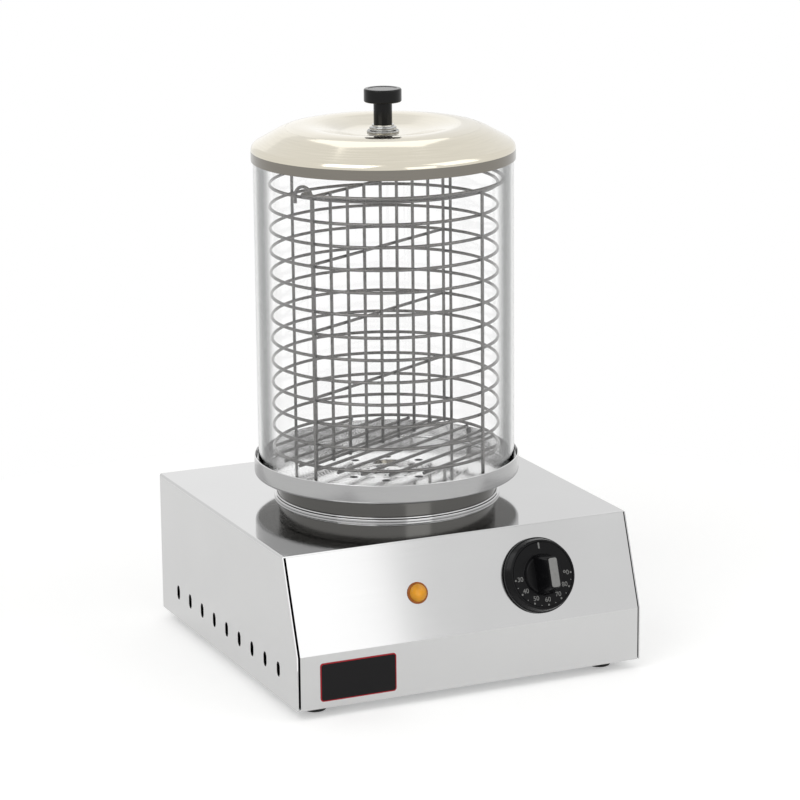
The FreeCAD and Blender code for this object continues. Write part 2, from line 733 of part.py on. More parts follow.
def make_wiring_pieces():
    """Mains terminals and the earth stud on the base plate."""
    plate_top = f"({PLATE_Z} + SheetThickness)"
    x_text = f"({TERMINAL_PLACE_SHARES[0]} * {HALF_WIDTH})"
    y_text = f"({TERMINAL_PLACE_SHARES[1]} * {HALF_DEPTH})"
    block = box("terminal_base", "TerminalLength", "TerminalWidth", "TerminalHeight",
                f"{x_text} - TerminalLength / 2", f"{y_text} - TerminalWidth / 2", plate_top)
    wells = []
    for index in range(TERMINAL_POLES):
        share = (index + 0.5) / TERMINAL_POLES - 0.5
        wells.append(prism(
            f"terminal_well_{index}", 4, "TerminalPoleDiameter / 2", "TerminalHeight",
            f"{x_text} + ({share}) * TerminalLength", y_text, f"{plate_top} + TerminalHeight / 2"))
    keep(cut("terminal_cut", block, fuse("terminal_wells", wells)), "terminal_block")
    keep(prism("earth_rod", SMALL_SIDES, "EarthStudDiameter / 2", "EarthStudHeight",
               f"{EARTH_PLACE_SHARES[0]} * {HALF_WIDTH}", f"{EARTH_PLACE_SHARES[1]} * {HALF_DEPTH}",
               plate_top), "earth_stud")


def make_cable_gland():
    """Gland body outside the rear panel, its thread through the hole, and the lock nut inside."""
    gland = new_body("cable_gland")
    thread = f"GlandThread / 2 * {SMALL_CORNER}"
    tail = "(SheetThickness + GlandNutThickness + SheetGap)"
    nose_z = "GlandFlangeThickness"
    for name, low, length, radius_text in (
            ("thread", f"-{tail}", tail, thread),
            ("flange", "0", nose_z, "GlandFlange / 2"),
            ("nose", nose_z, "GlandNose", "GlandNoseDiameter / 2")):
        section = new_sketch(gland, "XY_Plane", name)
        tie(section, AttachmentOffset__Base__z=low)
        small_rounds(section, [("0", "0")], radius_text)
        circles(section, [("0", "0")], "GlandBore / 2")
        pad(gland, section, length)
    nut = new_body("gland_nut")
    sketch = new_sketch(nut, "XY_Plane")
    small_rounds(sketch, [("0", "0")], "GlandFlange / 2")
    small_rounds(sketch, [("0", "0")], thread)
    pad(nut, sketch, "GlandNutThickness", reversed_way=True)
    for thing, y_text in ((gland, HALF_DEPTH), (nut, f"{HALF_DEPTH} - SheetThickness")):
        thing.Placement = FreeCAD.Placement(
            FreeCAD.Vector(), FreeCAD.Rotation(FreeCAD.Vector(1, 0, 0), -90))
        stand_at(thing, f"{HALF_WIDTH} - GlandInset", y_text, f"{FLOOR_Z} + GlandHeight")


def thermostat_screw_places():
    return [("-ThermostatScrewPitch / 2", "0"), ("ThermostatScrewPitch / 2", "0")]


def make_thermostat():
    """Thermostat against the back of the sloped panel, held by two flat screws under the dial."""
    body = new_body("thermostat_body")
    case = new_sketch(body, "XY_Plane", "case")
    tie(case, AttachmentOffset__Base__z="-SheetThickness")
    half = "(ThermostatWidth / 2)"
    outline(case, rectangle(f"-{half}", half, f"-{half}", half))
    circles(case, [("0", "0")], "SpindleDiameter / 2 + SpindleGap")
    pad(body, case, "ThermostatDepth", reversed_way=True)
    on_slope(body, "DialOffset", "DialRise")
    screws = new_body("thermostat_screws")
    heads = new_sketch(screws, "XY_Plane", "heads")
    small_rounds(heads, thermostat_screw_places(), "ThermostatScrewDiameter")
    pad(screws, heads, "ThermostatScrewHead")
    shanks = new_sketch(screws, "XY_Plane", "shanks")
    small_rounds(shanks, thermostat_screw_places(), "ThermostatScrewDiameter / 2")
    pad(screws, shanks, "SheetThickness", reversed_way=True)
    on_slope(screws, "DialOffset", "DialRise")


def make_dial():
    """Moulded dial: tapered skirt, raised boss and a finger grip, on a round spindle."""
    body = new_body("thermostat_knob")
    face_z = "(DialGap + DialHeight)"
    boss_z = f"({face_z} + DialBossHeight)"
    revolve(body, [
        ("0", "DialGap"),
        ("0", boss_z),
        ("DialBossDiameter / 2 - DialBossHeight / 2", boss_z),
        ("DialBossDiameter / 2", face_z),
        ("DialFaceDiameter / 2", face_z),
        ("DialDiameter / 2", f"DialGap + DialHeight * {DIAL_SKIRT_SHARE}"),
        ("DialDiameter / 2", "DialGap"),
    ])
    grip = new_sketch(body, "XY_Plane", "grip")
    tie(grip, AttachmentOffset__Base__z=face_z)
    side = "(GripWidth / 2)"
    end = "(GripLength / 2 - GripWidth / 2)"
    outline(grip, [
        (f"-{side}", f"-{end}"),
        (side, f"-{end}", "0", f"-{end}", 1),
        (side, end),
        (f"-{side}", end, "0", end, 1),
    ])
    wing = pad(body, grip, "GripHeight")
    tie(wing, TaperAngle="-GripTaper")
    doc.recompute()
    top = max(body.Shape.Faces, key=lambda face: face.CenterOfMass.z)
    edges = [
        f"Edge{index}" for index, edge in enumerate(body.Shape.Edges, start=1)
        if abs(edge.BoundBox.ZMin - top.BoundBox.ZMax) < 1e-6]
    chamfer = body.newObject("PartDesign::Chamfer", "grip_edge")
    chamfer.Base = (wing, edges)
    tie(chamfer, Size="GripEdge")
    socket = new_sketch(body, "XY_Plane", "spindle_socket")
    tie(socket, AttachmentOffset__Base__z="DialGap")
    circles(socket, [("0", "0")], "SpindleDiameter / 2 + SpindleGap")
    pocket(body, socket, "SpindleSocketDepth", reversed_way=True)
    on_slope(body, "DialOffset", "DialRise")
    spindle = new_body("thermostat_spindle")
    rod = new_sketch(spindle, "XY_Plane")
    rod_top = "(DialGap + SpindleSocketDepth)"
    tie(rod, AttachmentOffset__Base__z=rod_top)
    circles(rod, [("0", "0")], "SpindleDiameter / 2")
    pad(spindle, rod, f"{rod_top} + SheetThickness + SpindleReach - SheetGap", reversed_way=True)
    on_slope(spindle, "DialOffset", "DialRise")


def make_lamp():
    """Pilot lamp: ring bezel, domed lens and the body with its clip behind the panel."""
    bezel = new_body("lamp_bezel")
    lens_r = "(LampLensDiameter / 2)"
    revolve(bezel, [
        (lens_r, "0"),
        ("LampBezelDiameter / 2", "0"),
        ("LampBezelDiameter / 2 - LampBezelHeight / 2", "LampBezelHeight"),
        (lens_r, "LampBezelHeight"),
    ])
    lens = new_body("lamp_lens")
    revolve(lens, [
        ("0", "0"),
        (lens_r, "0"),
        (lens_r, "LampBezelHeight"),
        (f"{lens_r} * {LENS_TOP_SHARE}", "LampBezelHeight + LampLensRise"),
        ("0", "LampBezelHeight + LampLensRise"),
    ])
    socket = new_body("lamp_body")
    case = new_sketch(socket, "XY_Plane", "case")
    small_rounds(case, [("0", "0")], "LampBodyDiameter / 2")
    pad(socket, case, "LampBodyLength", reversed_way=True)
    for thing in (bezel, lens, socket):
        on_slope(thing, "-LampOffset", "LampRise")


def make_sensor():
    """Sensing bulb under the pan's floor beside the element, with its capillary to the thermostat."""
    bulb_y = f"({BOILER_Y} - ElementDiameter / 2 - BulbDiameter)"
    bulb_z = f"({PAN_FLOOR_Z} - BulbDiameter / 2)"
    bulb = doc.addObject("Part::Prism", "bulb_rod")
    bulb.Polygon = SMALL_SIDES
    spin = FreeCAD.Rotation(FreeCAD.Vector(0, 0, 1), 180 / SMALL_SIDES)
    lay = FreeCAD.Rotation(FreeCAD.Vector(0, 1, 0), 90)
    bulb.Placement = FreeCAD.Placement(FreeCAD.Vector(), lay.multiply(spin))
    tie(bulb, Circumradius=f"BulbDiameter / 2 / {SMALL_CORNER}", Height="BulbLength")
    stand_at(bulb, "-BulbLength / 2", bulb_y, bulb_z)
    keep(bulb, "thermostat_bulb")
    start = FreeCAD.Vector(number("BulbLength / 2"), number(bulb_y), number(bulb_z))
    back = number("SheetThickness + ThermostatDepth")
    angle = math.radians(number(SLOPE_ANGLE))
    inward = FreeCAD.Vector(0, math.sin(angle), -math.cos(angle))
    centre = FreeCAD.Vector(
        number("DialOffset - CapillaryOffset"),
        number(f"-{HALF_DEPTH} + DialRise * cos({SLOPE_ANGLE})"),
        number(f"{BEND_Z} + DialRise * sin({SLOPE_ANGLE})"))
    finish = centre + inward * back
    stub = finish + inward * number("CapillaryStub")
    leave = FreeCAD.Vector(start.x + number("CapillaryStub"), start.y, start.z)
    corner = FreeCAD.Vector(finish.x, stub.y, start.z)
    run = wire_solid([start, leave, corner, stub, finish], number("CapillaryDiameter"), WIRE_FACETS)
    keep(wire_feature("capillary_run", run), "capillary_tube")


# Steam tray, glass and lid

def make_steam_tray():
    """Shallow round tray with steam holes, an upright wall, and a collar that drops into the pan."""
    body = new_body("steam_tray")
    wall = f"({GLASS_RADIUS} + TrayWallGap + TrayThickness)"
    collar = f"({PAN_RADIUS} - PanWall - TrayCollarGap)"
    dish = "(TrayDishDiameter / 2)"
    dish_z = f"({TRAY_FLOOR_Z} - TrayDishDepth)"
    wall_top = f"({TRAY_FLOOR_Z} + TrayWallHeight)"
    revolve(body, [
        ("0", dish_z),
        (f"{dish} - TrayDishDepth", dish_z),
        (dish, TRAY_FLOOR_Z),
        (f"{collar} - TrayThickness", TRAY_FLOOR_Z),
        (f"{collar} - TrayThickness", f"{TRAY_FLOOR_Z} - TrayCollarDepth"),
        (collar, f"{TRAY_FLOOR_Z} - TrayCollarDepth"),
        (collar, TRAY_FLOOR_Z),
        (wall, TRAY_FLOOR_Z),
        (wall, wall_top),
        (f"{wall} - TrayThickness", wall_top),
        (f"{wall} - TrayThickness", DECK_Z),
        (f"{dish} - TrayThickness * {BEND_MITRE}", DECK_Z),
        (f"{dish} - TrayDishDepth - TrayThickness * {BEND_MITRE}", f"{dish_z} + TrayThickness"),
        ("0", f"{dish_z} + TrayThickness"),
    ])
    hole = new_sketch(body, "XY_Plane", "steam_hole")
    tie(hole, AttachmentOffset__Base__z=DECK_Z)
    small_rounds(hole, [("TrayHoleCircle / 2 * cos(TrayHoleTurn)", "TrayHoleCircle / 2 * sin(TrayHoleTurn)")],
                "TrayHoleDiameter / 2")
    holes = pocket(body, hole, "2 * TrayThickness + SeatGap", symmetric=True)
    repeat_round(body, holes, hole, TRAY_HOLES)
    on_boiler(body)


def make_glass():
    body = new_body("glass_cylinder")
    revolve(body, rectangle(GLASS_BORE, GLASS_RADIUS, DECK_Z, GLASS_TOP))
    on_boiler(body)


LID_RADIUS = f"({GLASS_RADIUS} + LidFitGap + LidThickness)"
SHOULDER_R = f"({LID_RADIUS} - LidShoulderRadius)"
# The first chord inside the shoulder's roll rests on the glass's outer rim.
SHOULDER_Z = f"({GLASS_TOP} + SeatGap - LidFitGap / tan(LidSeatLean / 2))"
CREST_R = "(LidCrestDiameter / 2)"
CREST_Z = f"({GLASS_TOP} + LidCrestRise)"
HOLLOW_R = "(LidHollowDiameter / 2)"
HOLLOW_Z = f"({CREST_Z} - LidHollowDepth)"


def lid_slopes():
    """Tilt of the dome's outer slope, and of the slope down to the hollow, from tangents to the two rolls."""
    across = f"({SHOULDER_R} - {CREST_R})"
    down = f"({CREST_Z} - LidCrestRadius - {SHOULDER_Z})"
    outer = (f"(asin((LidCrestRadius - LidShoulderRadius) / hypot({across}; {down}))"
             f" + atan2({down}; {across}))")
    inner = f"atan2(LidHollowDepth; {CREST_R} - {HOLLOW_R})"
    return outer, inner


def screw_bore(body, z_text, depth):
    """Bore of the lid's screw, upwards from a height."""
    sketch = new_sketch(body, "XY_Plane", "screw_bore")
    tie(sketch, AttachmentOffset__Base__z=z_text)
    small_rounds(sketch, [("0", "0")], f"LidScrewDiameter / 2 * {SMALL_CORNER} + LidScrewGap")
    pocket(body, sketch, depth, reversed_way=True)


def make_lid():
    """Domed lid: straight skirt, rolled shoulder, raised crest ring and a hollow centre for the knob."""
    body = new_body("lid")
    outer_tilt, inner_tilt = lid_slopes()
    crest_low = f"({CREST_Z} - LidCrestRadius)"

    def side(shift):
        shoulder = f"(LidShoulderRadius - {shift})"
        crest = f"(LidCrestRadius - {shift})"
        skirt = f"({LID_RADIUS} - {shift})"
        corners = [(skirt, f"{SHOULDER_Z} - LidSkirt"), (skirt, SHOULDER_Z)]
        leans = [f"({share} * (90 deg - {outer_tilt}))" for share in SHOULDER_SHARES]
        for lean in ["(LidSeatLean * 1 deg)"] + leans:
            corners.append((f"{SHOULDER_R} + {shoulder} * cos({lean})",
                            f"{SHOULDER_Z} + {shoulder} * sin({lean})"))
        for share in CREST_SHARES:
            lean = f"({outer_tilt} - {share} * ({outer_tilt} + {inner_tilt}))"
            corners.append((f"{CREST_R} + {crest} * sin({lean})",
                            f"{crest_low} + {crest} * cos({lean})"))
        corners.append((HOLLOW_R, f"{HOLLOW_Z} - {shift}"))
        corners.append(("0", f"{HOLLOW_Z} - {shift}"))
        return corners

    revolve(body, side("0") + side("LidThickness")[::-1])
    screw_bore(body, f"{HOLLOW_Z} - LidThickness", "LidThickness")
    on_boiler(body)


def make_lid_knob():
    """Moulded knob on a flared collar, held from inside the lid by a screw."""
    knob_low = f"({HOLLOW_Z} + LidCollarHeight)"
    knob_top = f"({knob_low} + LidKnobHeight)"
    head_low = f"({knob_top} - LidKnobHeadHeight)"
    knob = new_body("lid_knob")
    revolve(knob, [
        ("0", knob_low),
        ("LidKnobStemDiameter / 2", knob_low),
        ("LidKnobStemDiameter / 2", head_low),
        ("LidKnobDiameter / 2 - LidKnobEdge", head_low),
        ("LidKnobDiameter / 2", f"{knob_top} - LidKnobEdge"),
        ("LidKnobDiameter / 2 - LidKnobEdge", knob_top),
        ("0", knob_top),
    ])
    screw_bore(knob, knob_low, "LidScrewReach - LidCollarHeight")
    collar = new_body("lid_knob_collar")
    revolve(collar, [
        ("0", HOLLOW_Z),
        ("LidCollarDiameter / 2", HOLLOW_Z),
        ("LidCollarTopDiameter / 2", f"{HOLLOW_Z} + LidCollarHeight * {COLLAR_FLARE_SHARE}"),
        ("LidCollarTopDiameter / 2", f"{HOLLOW_Z} + LidCollarHeight"),
        ("0", f"{HOLLOW_Z} + LidCollarHeight"),
    ])
    screw_bore(collar, HOLLOW_Z, "LidCollarHeight")
    under = f"({HOLLOW_Z} - LidThickness)"
    screw = new_body("lid_knob_screw")
    head = new_sketch(screw, "XY_Plane", "head")
    tie(head, AttachmentOffset__Base__z=under)
    small_rounds(head, [("0", "0")], "LidScrewHead / 2")
    pad(screw, head, "LidScrewHeadHeight", reversed_way=True)
    shank = new_sketch(screw, "XY_Plane", "shank")
    tie(shank, AttachmentOffset__Base__z=under)
    small_rounds(shank, [("0", "0")], f"LidScrewDiameter / 2 * {SMALL_CORNER}")
    pad(screw, shank, "LidThickness + LidScrewReach")
    for thing in (knob, collar, screw):
        on_boiler(thing)


# Wire basket

RING_RADIUS = f"({GLASS_BORE} - BasketWallGap)"
RING_LOW_Z = f"({DECK_Z} + BasketFootHeight)"
RING_TOP_Z = f"({RING_LOW_Z} + (RingCount - 1) * RingPitch)"
POST_RADIUS = f"({RING_RADIUS} + RingWire / 2 / {WIRE_CORNER} + RingWire / 2)"
RING_HALF = "(RingWire / 2)"
PIN_Z = f"({RING_TOP_Z} + {RING_HALF} + BailWire / 2 + BailSeatGap)"
PIN_Y = "(HookSpan / 2)"


def wire_solid(points, diameter, facets, closed=False):
    """Solid of a bent wire: flat-sided, mitred at each point, its sides kept level with the first run."""
    count = len(points)
    ways = []
    for index in range(count if closed else count - 1):
        ways.append((points[(index + 1) % count] - points[index]).normalize())
    first = ways[0]
    side = first.cross(FreeCAD.Vector(0, 0, 1))
    if side.Length < 1e-6:
        side = FreeCAD.Vector(0, 1, 0)
    side.normalize()
    level = side.cross(first)
    reach = diameter / 2 / math.cos(math.pi / facets)
    ring = []
    for index in range(facets):
        angle = (index + 0.5) * 2 * math.pi / facets
        ring.append(points[0] + side * (reach * math.sin(angle)) + level * (reach * math.cos(angle)))
    sections = []
    for index in range(count):
        before = ways[index - 1] if (closed or index > 0) else ways[0]
        after = ways[index] if index < len(ways) else ways[-1]
        plane = (before + after).normalize()
        way = before if index > 0 else after
        ring = [spot + way * ((points[index] - spot).dot(plane) / way.dot(plane)) for spot in ring]
        sections.append(ring)
    faces = []
    spans = count if closed else count - 1
    for index in range(spans):
        low = sections[index]
        high = sections[(index + 1) % count]
        for turn in range(facets):
            other = (turn + 1) % facets
            quad = [low[turn], low[other], high[other], high[turn], low[turn]]
            faces.append(Part.Face(Part.makePolygon(quad)))
    if not closed:
        for ring in (sections[0], sections[-1]):
            faces.append(Part.Face(Part.makePolygon(ring + [ring[0]])))
    shell = Part.Shell(faces)
    shell.sewShape()
    solid = Part.Solid(shell)
    if solid.Volume < 0:
        solid.reverse()
    return solid


def wire_feature(name, shape):
    thing = doc.addObject("Part::Feature", name)
    thing.Shape = shape
    return thing


def turn_basket(thing):
    thing.Placement = FreeCAD.Placement(
        FreeCAD.Vector(), FreeCAD.Rotation(FreeCAD.Vector(0, 0, 1), number("BasketTurn")))
    tie(thing, Placement__Rotation__Angle="BasketTurn")
    on_boiler(thing)


def straight_wire(name, way, length, x_text, y_text, z_text):
    """Straight wire from a place along +X with flats above and below, or along +Z with flats at +Y and -Y."""
    thing = doc.addObject("Part::Prism", name)
    thing.Polygon = WIRE_FACETS
    spin = FreeCAD.Rotation(FreeCAD.Vector(0, 0, 1), 180 / WIRE_FACETS if way == "x" else 0)
    lay = FreeCAD.Rotation(FreeCAD.Vector(0, 1, 0), 90) if way == "x" else FreeCAD.Rotation()
    thing.Placement = FreeCAD.Placement(FreeCAD.Vector(), lay.multiply(spin))
    tie(thing, Circumradius=f"RingWire / 2 / {WIRE_CORNER}", Height=length)
    stand_at(thing, x_text, y_text, z_text)
    return thing


def make_basket_rings():
    """Stack of closed wire rings, from the floor ring to the top ring."""
    reach = number(RING_RADIUS) / math.cos(math.pi / RING_SIDES)
    low = number(RING_LOW_Z)
    points = []
    for index in range(RING_SIDES):
        angle = (index + 0.5) * 2 * math.pi / RING_SIDES
        points.append(FreeCAD.Vector(reach * math.cos(angle), reach * math.sin(angle), low))
    first = wire_solid(points, number("RingWire"), WIRE_FACETS, closed=True)
    rings = []
    for index in range(int(number("RingCount"))):
        ring = first.copy()
        ring.translate(FreeCAD.Vector(0, 0, index * number("RingPitch")))
        rings.append(ring)
    stack = wire_feature("ring_stack", Part.Compound(rings))
    turn_basket(stack)
    keep(stack, "basket_rings")


def make_basket_posts():
    """Four posts outside the rings. Those in line with the divider end in hooks that hold the bail."""
    reach = number(POST_RADIUS)
    low = number(DECK_Z)
    top = number(f"{RING_TOP_Z} + {RING_HALF}")
    bow = number("HookSpan / 2")
    posts = []
    for sign in (-1, 1):
        points = [FreeCAD.Vector(sign * reach, 0, low)]
        for index in range(HOOK_STEPS + 1):
            angle = math.pi * (1 - index / HOOK_STEPS)
            points.append(FreeCAD.Vector(
                sign * reach, bow + bow * math.cos(angle), top + bow * math.sin(angle)))
        points.append(FreeCAD.Vector(sign * reach, 2 * bow, top - number("HookDrop")))
        posts.append(wire_feature(
            f"hooked_post_{len(posts)}", wire_solid(points, number("RingWire"), WIRE_FACETS)))
    for sign in (-1, 1):
        posts.append(straight_wire(
            f"plain_post_{len(posts)}", "z", f"{RING_TOP_Z} + {RING_HALF} - {DECK_Z}",
            "0", f"{sign} * {POST_RADIUS}", DECK_Z))
    turn_basket(group("basket_posts", posts))


def make_basket_floor():
    """Parallel wires under the lowest ring."""
    outer = f"({RING_RADIUS} + {RING_HALF})"
    wires = []
    for index in range(SIZES["FloorCount"]):
        y_text = f"(({index} - (FloorCount - 1) / 2) * FloorPitch)"
        half = f"sqrt({outer} * {outer} - {y_text} * {y_text})"
        wires.append(straight_wire(
            f"floor_wire_{index}", "x", f"2 * {half}", f"-{half}", y_text, f"{RING_LOW_Z} - RingWire"))
    turn_basket(group("basket_floor", wires))


def make_divider():
    """Upright grid a little beside the middle: nine upright wires, and a level one at every third ring."""
    inner = f"({RING_RADIUS} - {RING_HALF} / {WIRE_CORNER})"
    upright_y = f"(DividerOffset - {RING_HALF})"
    level_y = f"(DividerOffset + {RING_HALF} / {WIRE_CORNER})"
    end_x = f"({inner} - {RING_HALF} / {WIRE_CORNER})"
    wires = []
    for index in range(SIZES["DividerCount"]):
        wires.append(straight_wire(
            f"divider_upright_{index}", "z", f"{RING_TOP_Z} - {RING_LOW_Z} + RingWire",
            f"(2 * {index} / (DividerCount - 1) - 1) * {end_x}", upright_y,
            f"{RING_LOW_Z} - {RING_HALF}"))
    for index in range(0, SIZES["RingCount"], 3):
        wires.append(straight_wire(
            f"divider_level_{index}", "x", f"2 * {inner}", f"-{inner}", level_y,
            f"{RING_LOW_Z} + {index} * RingPitch"))
    turn_basket(group("divider_grid", wires))


def make_bail():
    """Bail: a half ring lying on the posts, stepped out past the hooked posts, with pins turned inwards."""
    near = number(f"{POST_RADIUS} + BailOverhang")
    far = number(f"{POST_RADIUS} + {RING_HALF} + BailPostGap + BailWire / 2 / {WIRE_CORNER}")
    height = number(PIN_Z)
    pin_y = number(PIN_Y)
    bend = number("BailBendRadius")
    step = math.asin(number("BailStep") / near)
    left = [FreeCAD.Vector(-(far - number("BailPinReach")), pin_y, height)]
    for index in range(BAIL_BEND_STEPS + 1):
        angle = math.pi / 2 * index / BAIL_BEND_STEPS
        left.append(FreeCAD.Vector(
            -(far - bend + bend * math.sin(angle)), pin_y - bend + bend * math.cos(angle), height))
    left.append(FreeCAD.Vector(-far, -pin_y, height))
    left.append(FreeCAD.Vector(-near * math.cos(step), -near * math.sin(step), height))
    arc = []
    for index in range(1, BAIL_STEPS):
        angle = step + (math.pi - 2 * step) * index / BAIL_STEPS
        arc.append(FreeCAD.Vector(-near * math.cos(angle), -near * math.sin(angle), height))
    right = [FreeCAD.Vector(-spot.x, spot.y, spot.z) for spot in reversed(left)]
    bail = wire_feature(
        "bail_wire", wire_solid(left + arc + right, number("BailWire"), WIRE_FACETS))
    turn_basket(bail)
    keep(bail, "basket_bail")


# Assembly

make_housing_cover()
make_front_panel()
make_rear_panel()
make_base_plate()
make_housing_screws()
make_feet()
make_boiler_pan()
make_heater()
make_wiring_pieces()
make_cable_gland()
make_thermostat()
make_dial()
make_lamp()
make_sensor()
make_steam_tray()
make_glass()
make_lid()
make_lid_knob()
make_basket_rings()
make_basket_posts()
make_basket_floor()
make_divider()
make_bail()
doc.recompute()

for item in doc.Objects:
    if "Invalid" in item.State or "Error" in item.State:
        raise RuntimeError(f"{item.Label} failed: {item.State}")
for node in NODES:
    if node.Shape.isNull() or not node.Shape.isValid():
        raise RuntimeError(f"{node.Label} has no valid shape")

os.makedirs("parts", exist_ok=True)
for node in NODES:
    node.Shape.exportStep(f"parts/{node.Label}.step")
print(f"{len(NODES)} sub-parts written")
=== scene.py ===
import json
import math

import bmesh
import bpy
from mathutils import Matrix, Vector


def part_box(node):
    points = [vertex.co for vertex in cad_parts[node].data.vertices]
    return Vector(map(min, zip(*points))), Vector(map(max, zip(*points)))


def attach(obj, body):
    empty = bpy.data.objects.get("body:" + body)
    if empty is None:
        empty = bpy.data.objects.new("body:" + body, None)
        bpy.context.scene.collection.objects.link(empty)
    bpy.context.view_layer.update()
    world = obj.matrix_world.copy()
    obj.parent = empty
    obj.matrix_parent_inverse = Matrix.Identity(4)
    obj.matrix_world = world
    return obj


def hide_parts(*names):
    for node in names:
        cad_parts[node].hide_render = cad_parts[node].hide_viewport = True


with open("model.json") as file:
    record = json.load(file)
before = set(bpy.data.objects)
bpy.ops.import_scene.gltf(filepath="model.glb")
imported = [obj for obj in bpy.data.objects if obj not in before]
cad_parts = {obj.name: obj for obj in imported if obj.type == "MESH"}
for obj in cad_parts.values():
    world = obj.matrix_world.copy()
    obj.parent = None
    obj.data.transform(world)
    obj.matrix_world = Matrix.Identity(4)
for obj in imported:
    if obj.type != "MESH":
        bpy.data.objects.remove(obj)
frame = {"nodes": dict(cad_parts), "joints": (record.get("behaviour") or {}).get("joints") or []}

bl_info = {
    "name": "Hot Dog Steamer",
    "version": (1, 0, 0),
    "blender": (4, 5, 0),
    "location": "View3D > Sidebar > Steamer",
    "description": "Builds the visible pieces of a hot dog steamer around its CAD frame",
    "category": "Add Mesh",
}

MM = 0.001
# Vertices that lie nearer than this are one.
MERGE = 0.002 * MM

# Places from the CAD nodes, in metres.
TRAY_LOW, TRAY_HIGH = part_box("steam_tray")
GLASS_LOW, GLASS_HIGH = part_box("glass_cylinder")
LID_LOW, LID_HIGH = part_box("lid")
KNOB_LOW, KNOB_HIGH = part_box("lid_knob")
COLLAR_LOW, COLLAR_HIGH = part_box("lid_knob_collar")
PAN_LOW, PAN_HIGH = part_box("boiler_pan")
RINGS_LOW, RINGS_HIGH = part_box("basket_rings")
LENS_LOW, LENS_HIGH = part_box("lamp_lens")
GLAND_LOW, GLAND_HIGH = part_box("cable_gland")
FLOOR_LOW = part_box("basket_floor")[0]
PANEL_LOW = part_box("front_panel")[0]
COVER_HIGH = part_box("housing_cover")[1]
FEET_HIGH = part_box("rubber_feet")[1]
JOINTS = {joint["name"]: joint for joint in frame["joints"]}
# The pan, the tray, the glass and the basket share one upright axis.
BOILER = Vector((0.0, (PAN_LOW.y + PAN_HIGH.y) / 2, 0.0))

# Sizes that only the visible pieces need, in metres.
PANEL_SHIFT = 0.4 * MM
FOOT_INSET = 10 * MM
PAN_RADIUS = 85 * MM
PAN_FLANGE_HEIGHT = 3.6 * MM
TRAY_SHEET = 1 * MM
TRAY_COLLAR_RADIUS = 83.4 * MM
TRAY_DISH_RADIUS = 28 * MM
TRAY_DISH_DEPTH = 3 * MM
GLASS_RADIUS = 100 * MM
GLASS_BORE = 96.8 * MM
LID_SKIRT_RADIUS = 101.5 * MM
LID_SHEET = 0.8 * MM
# Height of the lid's rim band, which gets a darker copy of the lid steel as a painted reflection.
LID_REFLECTION_BAND_HEIGHT = 6 * MM
KNOB_HEAD_HEIGHT = 10.3 * MM
RING_RADIUS = 87.5 * MM
FLOOR_PITCH = 18 * MM
DIVIDER_OFFSET = 4.5 * MM
DIAL_LIFT = 0.8 * MM
DIAL_HEIGHT = 9 * MM
GRIP_HEIGHT = 20 * MM
MARK_THICKNESS = 0.12 * MM
LAMP_X = -39.5 * MM
LAMP_DROP = 0.2 * MM
PLATE_CENTRE = Vector((-93.1 * MM, 0.0, 27.95 * MM))
PLATE_WIDTH = 61 * MM
PLATE_HEIGHT = 29.5 * MM
PLATE_DEPTH = 0.5 * MM
# The CAD wires have six sides, so their flats lie nearer than their corners by this share.
HEX_SHARE = math.cos(math.pi / 6)
# Font size for each metre of a figure's height.
FONT_SHARE = 1.45
# Places of the dial's numbers, in degrees from its right, and the numbers.
DIAL_SCALE = dict(zip((185, 214, 244, 273, 302, 330, 357), range(30, 100, 10)))
# Tone of the glass by how far its wall turns from the eye: clear, then the grey lines of its two edges, which
# are painted reflections.
GLASS_PAINTED_EDGES = ((0.55, "#FFFFFF"), (0.64, "#989A99"), (0.70, "#616362"), (0.76, "#7C7E7D"), (0.83, "#D6D7D6"),
               (1.0, "#ABADAC"))
# Each softbox with its place and side in metres, the setting that holds its power, and its share of that.
SOFTBOXES = (
    ("key_softbox", (-1.7, -1.0, 2.2), 1.8, "key_power", 1.0),
    ("fill_softbox", (1.6, -1.4, 1.8), 1.8, "fill_power", 1.0),
    ("front_softbox", (0.42, -2.72, 1.0), 1.3, "low_power", 1.0),
    ("back_softbox", (0.60, 2.70, 1.0), 1.3, "low_power", 0.2),
    ("top_softbox", (0.60, 1.50, 2.3), 1.2, "low_power", 0.7),
)
SOFTBOX_AIM = Vector((0, 0, 0.2))
CAMERA_PLACE = Vector((-0.98165, -2.20469, 0.79525))


# Settings that a user would change

class SteelSettings(bpy.types.PropertyGroup):
    """Colours and grain of the stainless steel."""

    sheet_colour: bpy.props.StringProperty(
        name="Sheet colour", description="sRGB hex of the polished housing sheet", default="#CBCBCB")
    drawn_colour: bpy.props.StringProperty(
        name="Tray colour", description="sRGB hex of the drawn tray", default="#B2B2B2")
    # Painted shade: this darker steel stands for the shade on the pan's neck between the tray and the cover,
    # and under the tray.
    dulled_colour: bpy.props.StringProperty(
        name="Pan shade colour", description="sRGB hex of the unpolished steel over the heat", default="#6E6D6A")
    # Painted reflection: a darker copy of the lid steel for the lid's rim band.
    edge_colour: bpy.props.StringProperty(
        name="Rim reflection colour", description="sRGB hex of the lid's unpolished rolled edge", default="#86827A")
    lid_colour: bpy.props.StringProperty(
        name="Lid colour", description="sRGB hex of the lid's warmer steel", default="#DFD9C9")
    wire_colour: bpy.props.StringProperty(
        name="Wire colour", description="sRGB hex of the basket's plated wire", default="#787674")
    grain: bpy.props.FloatProperty(
        name="Grain", description="Spacing of the polishing lines", default=0.6 * MM, unit="LENGTH",
        precision=4)
    edge_bevel: bpy.props.FloatProperty(
        name="Edge bevel", description="Broken edge of the folded sheets", default=0.25 * MM, unit="LENGTH",
        precision=5)


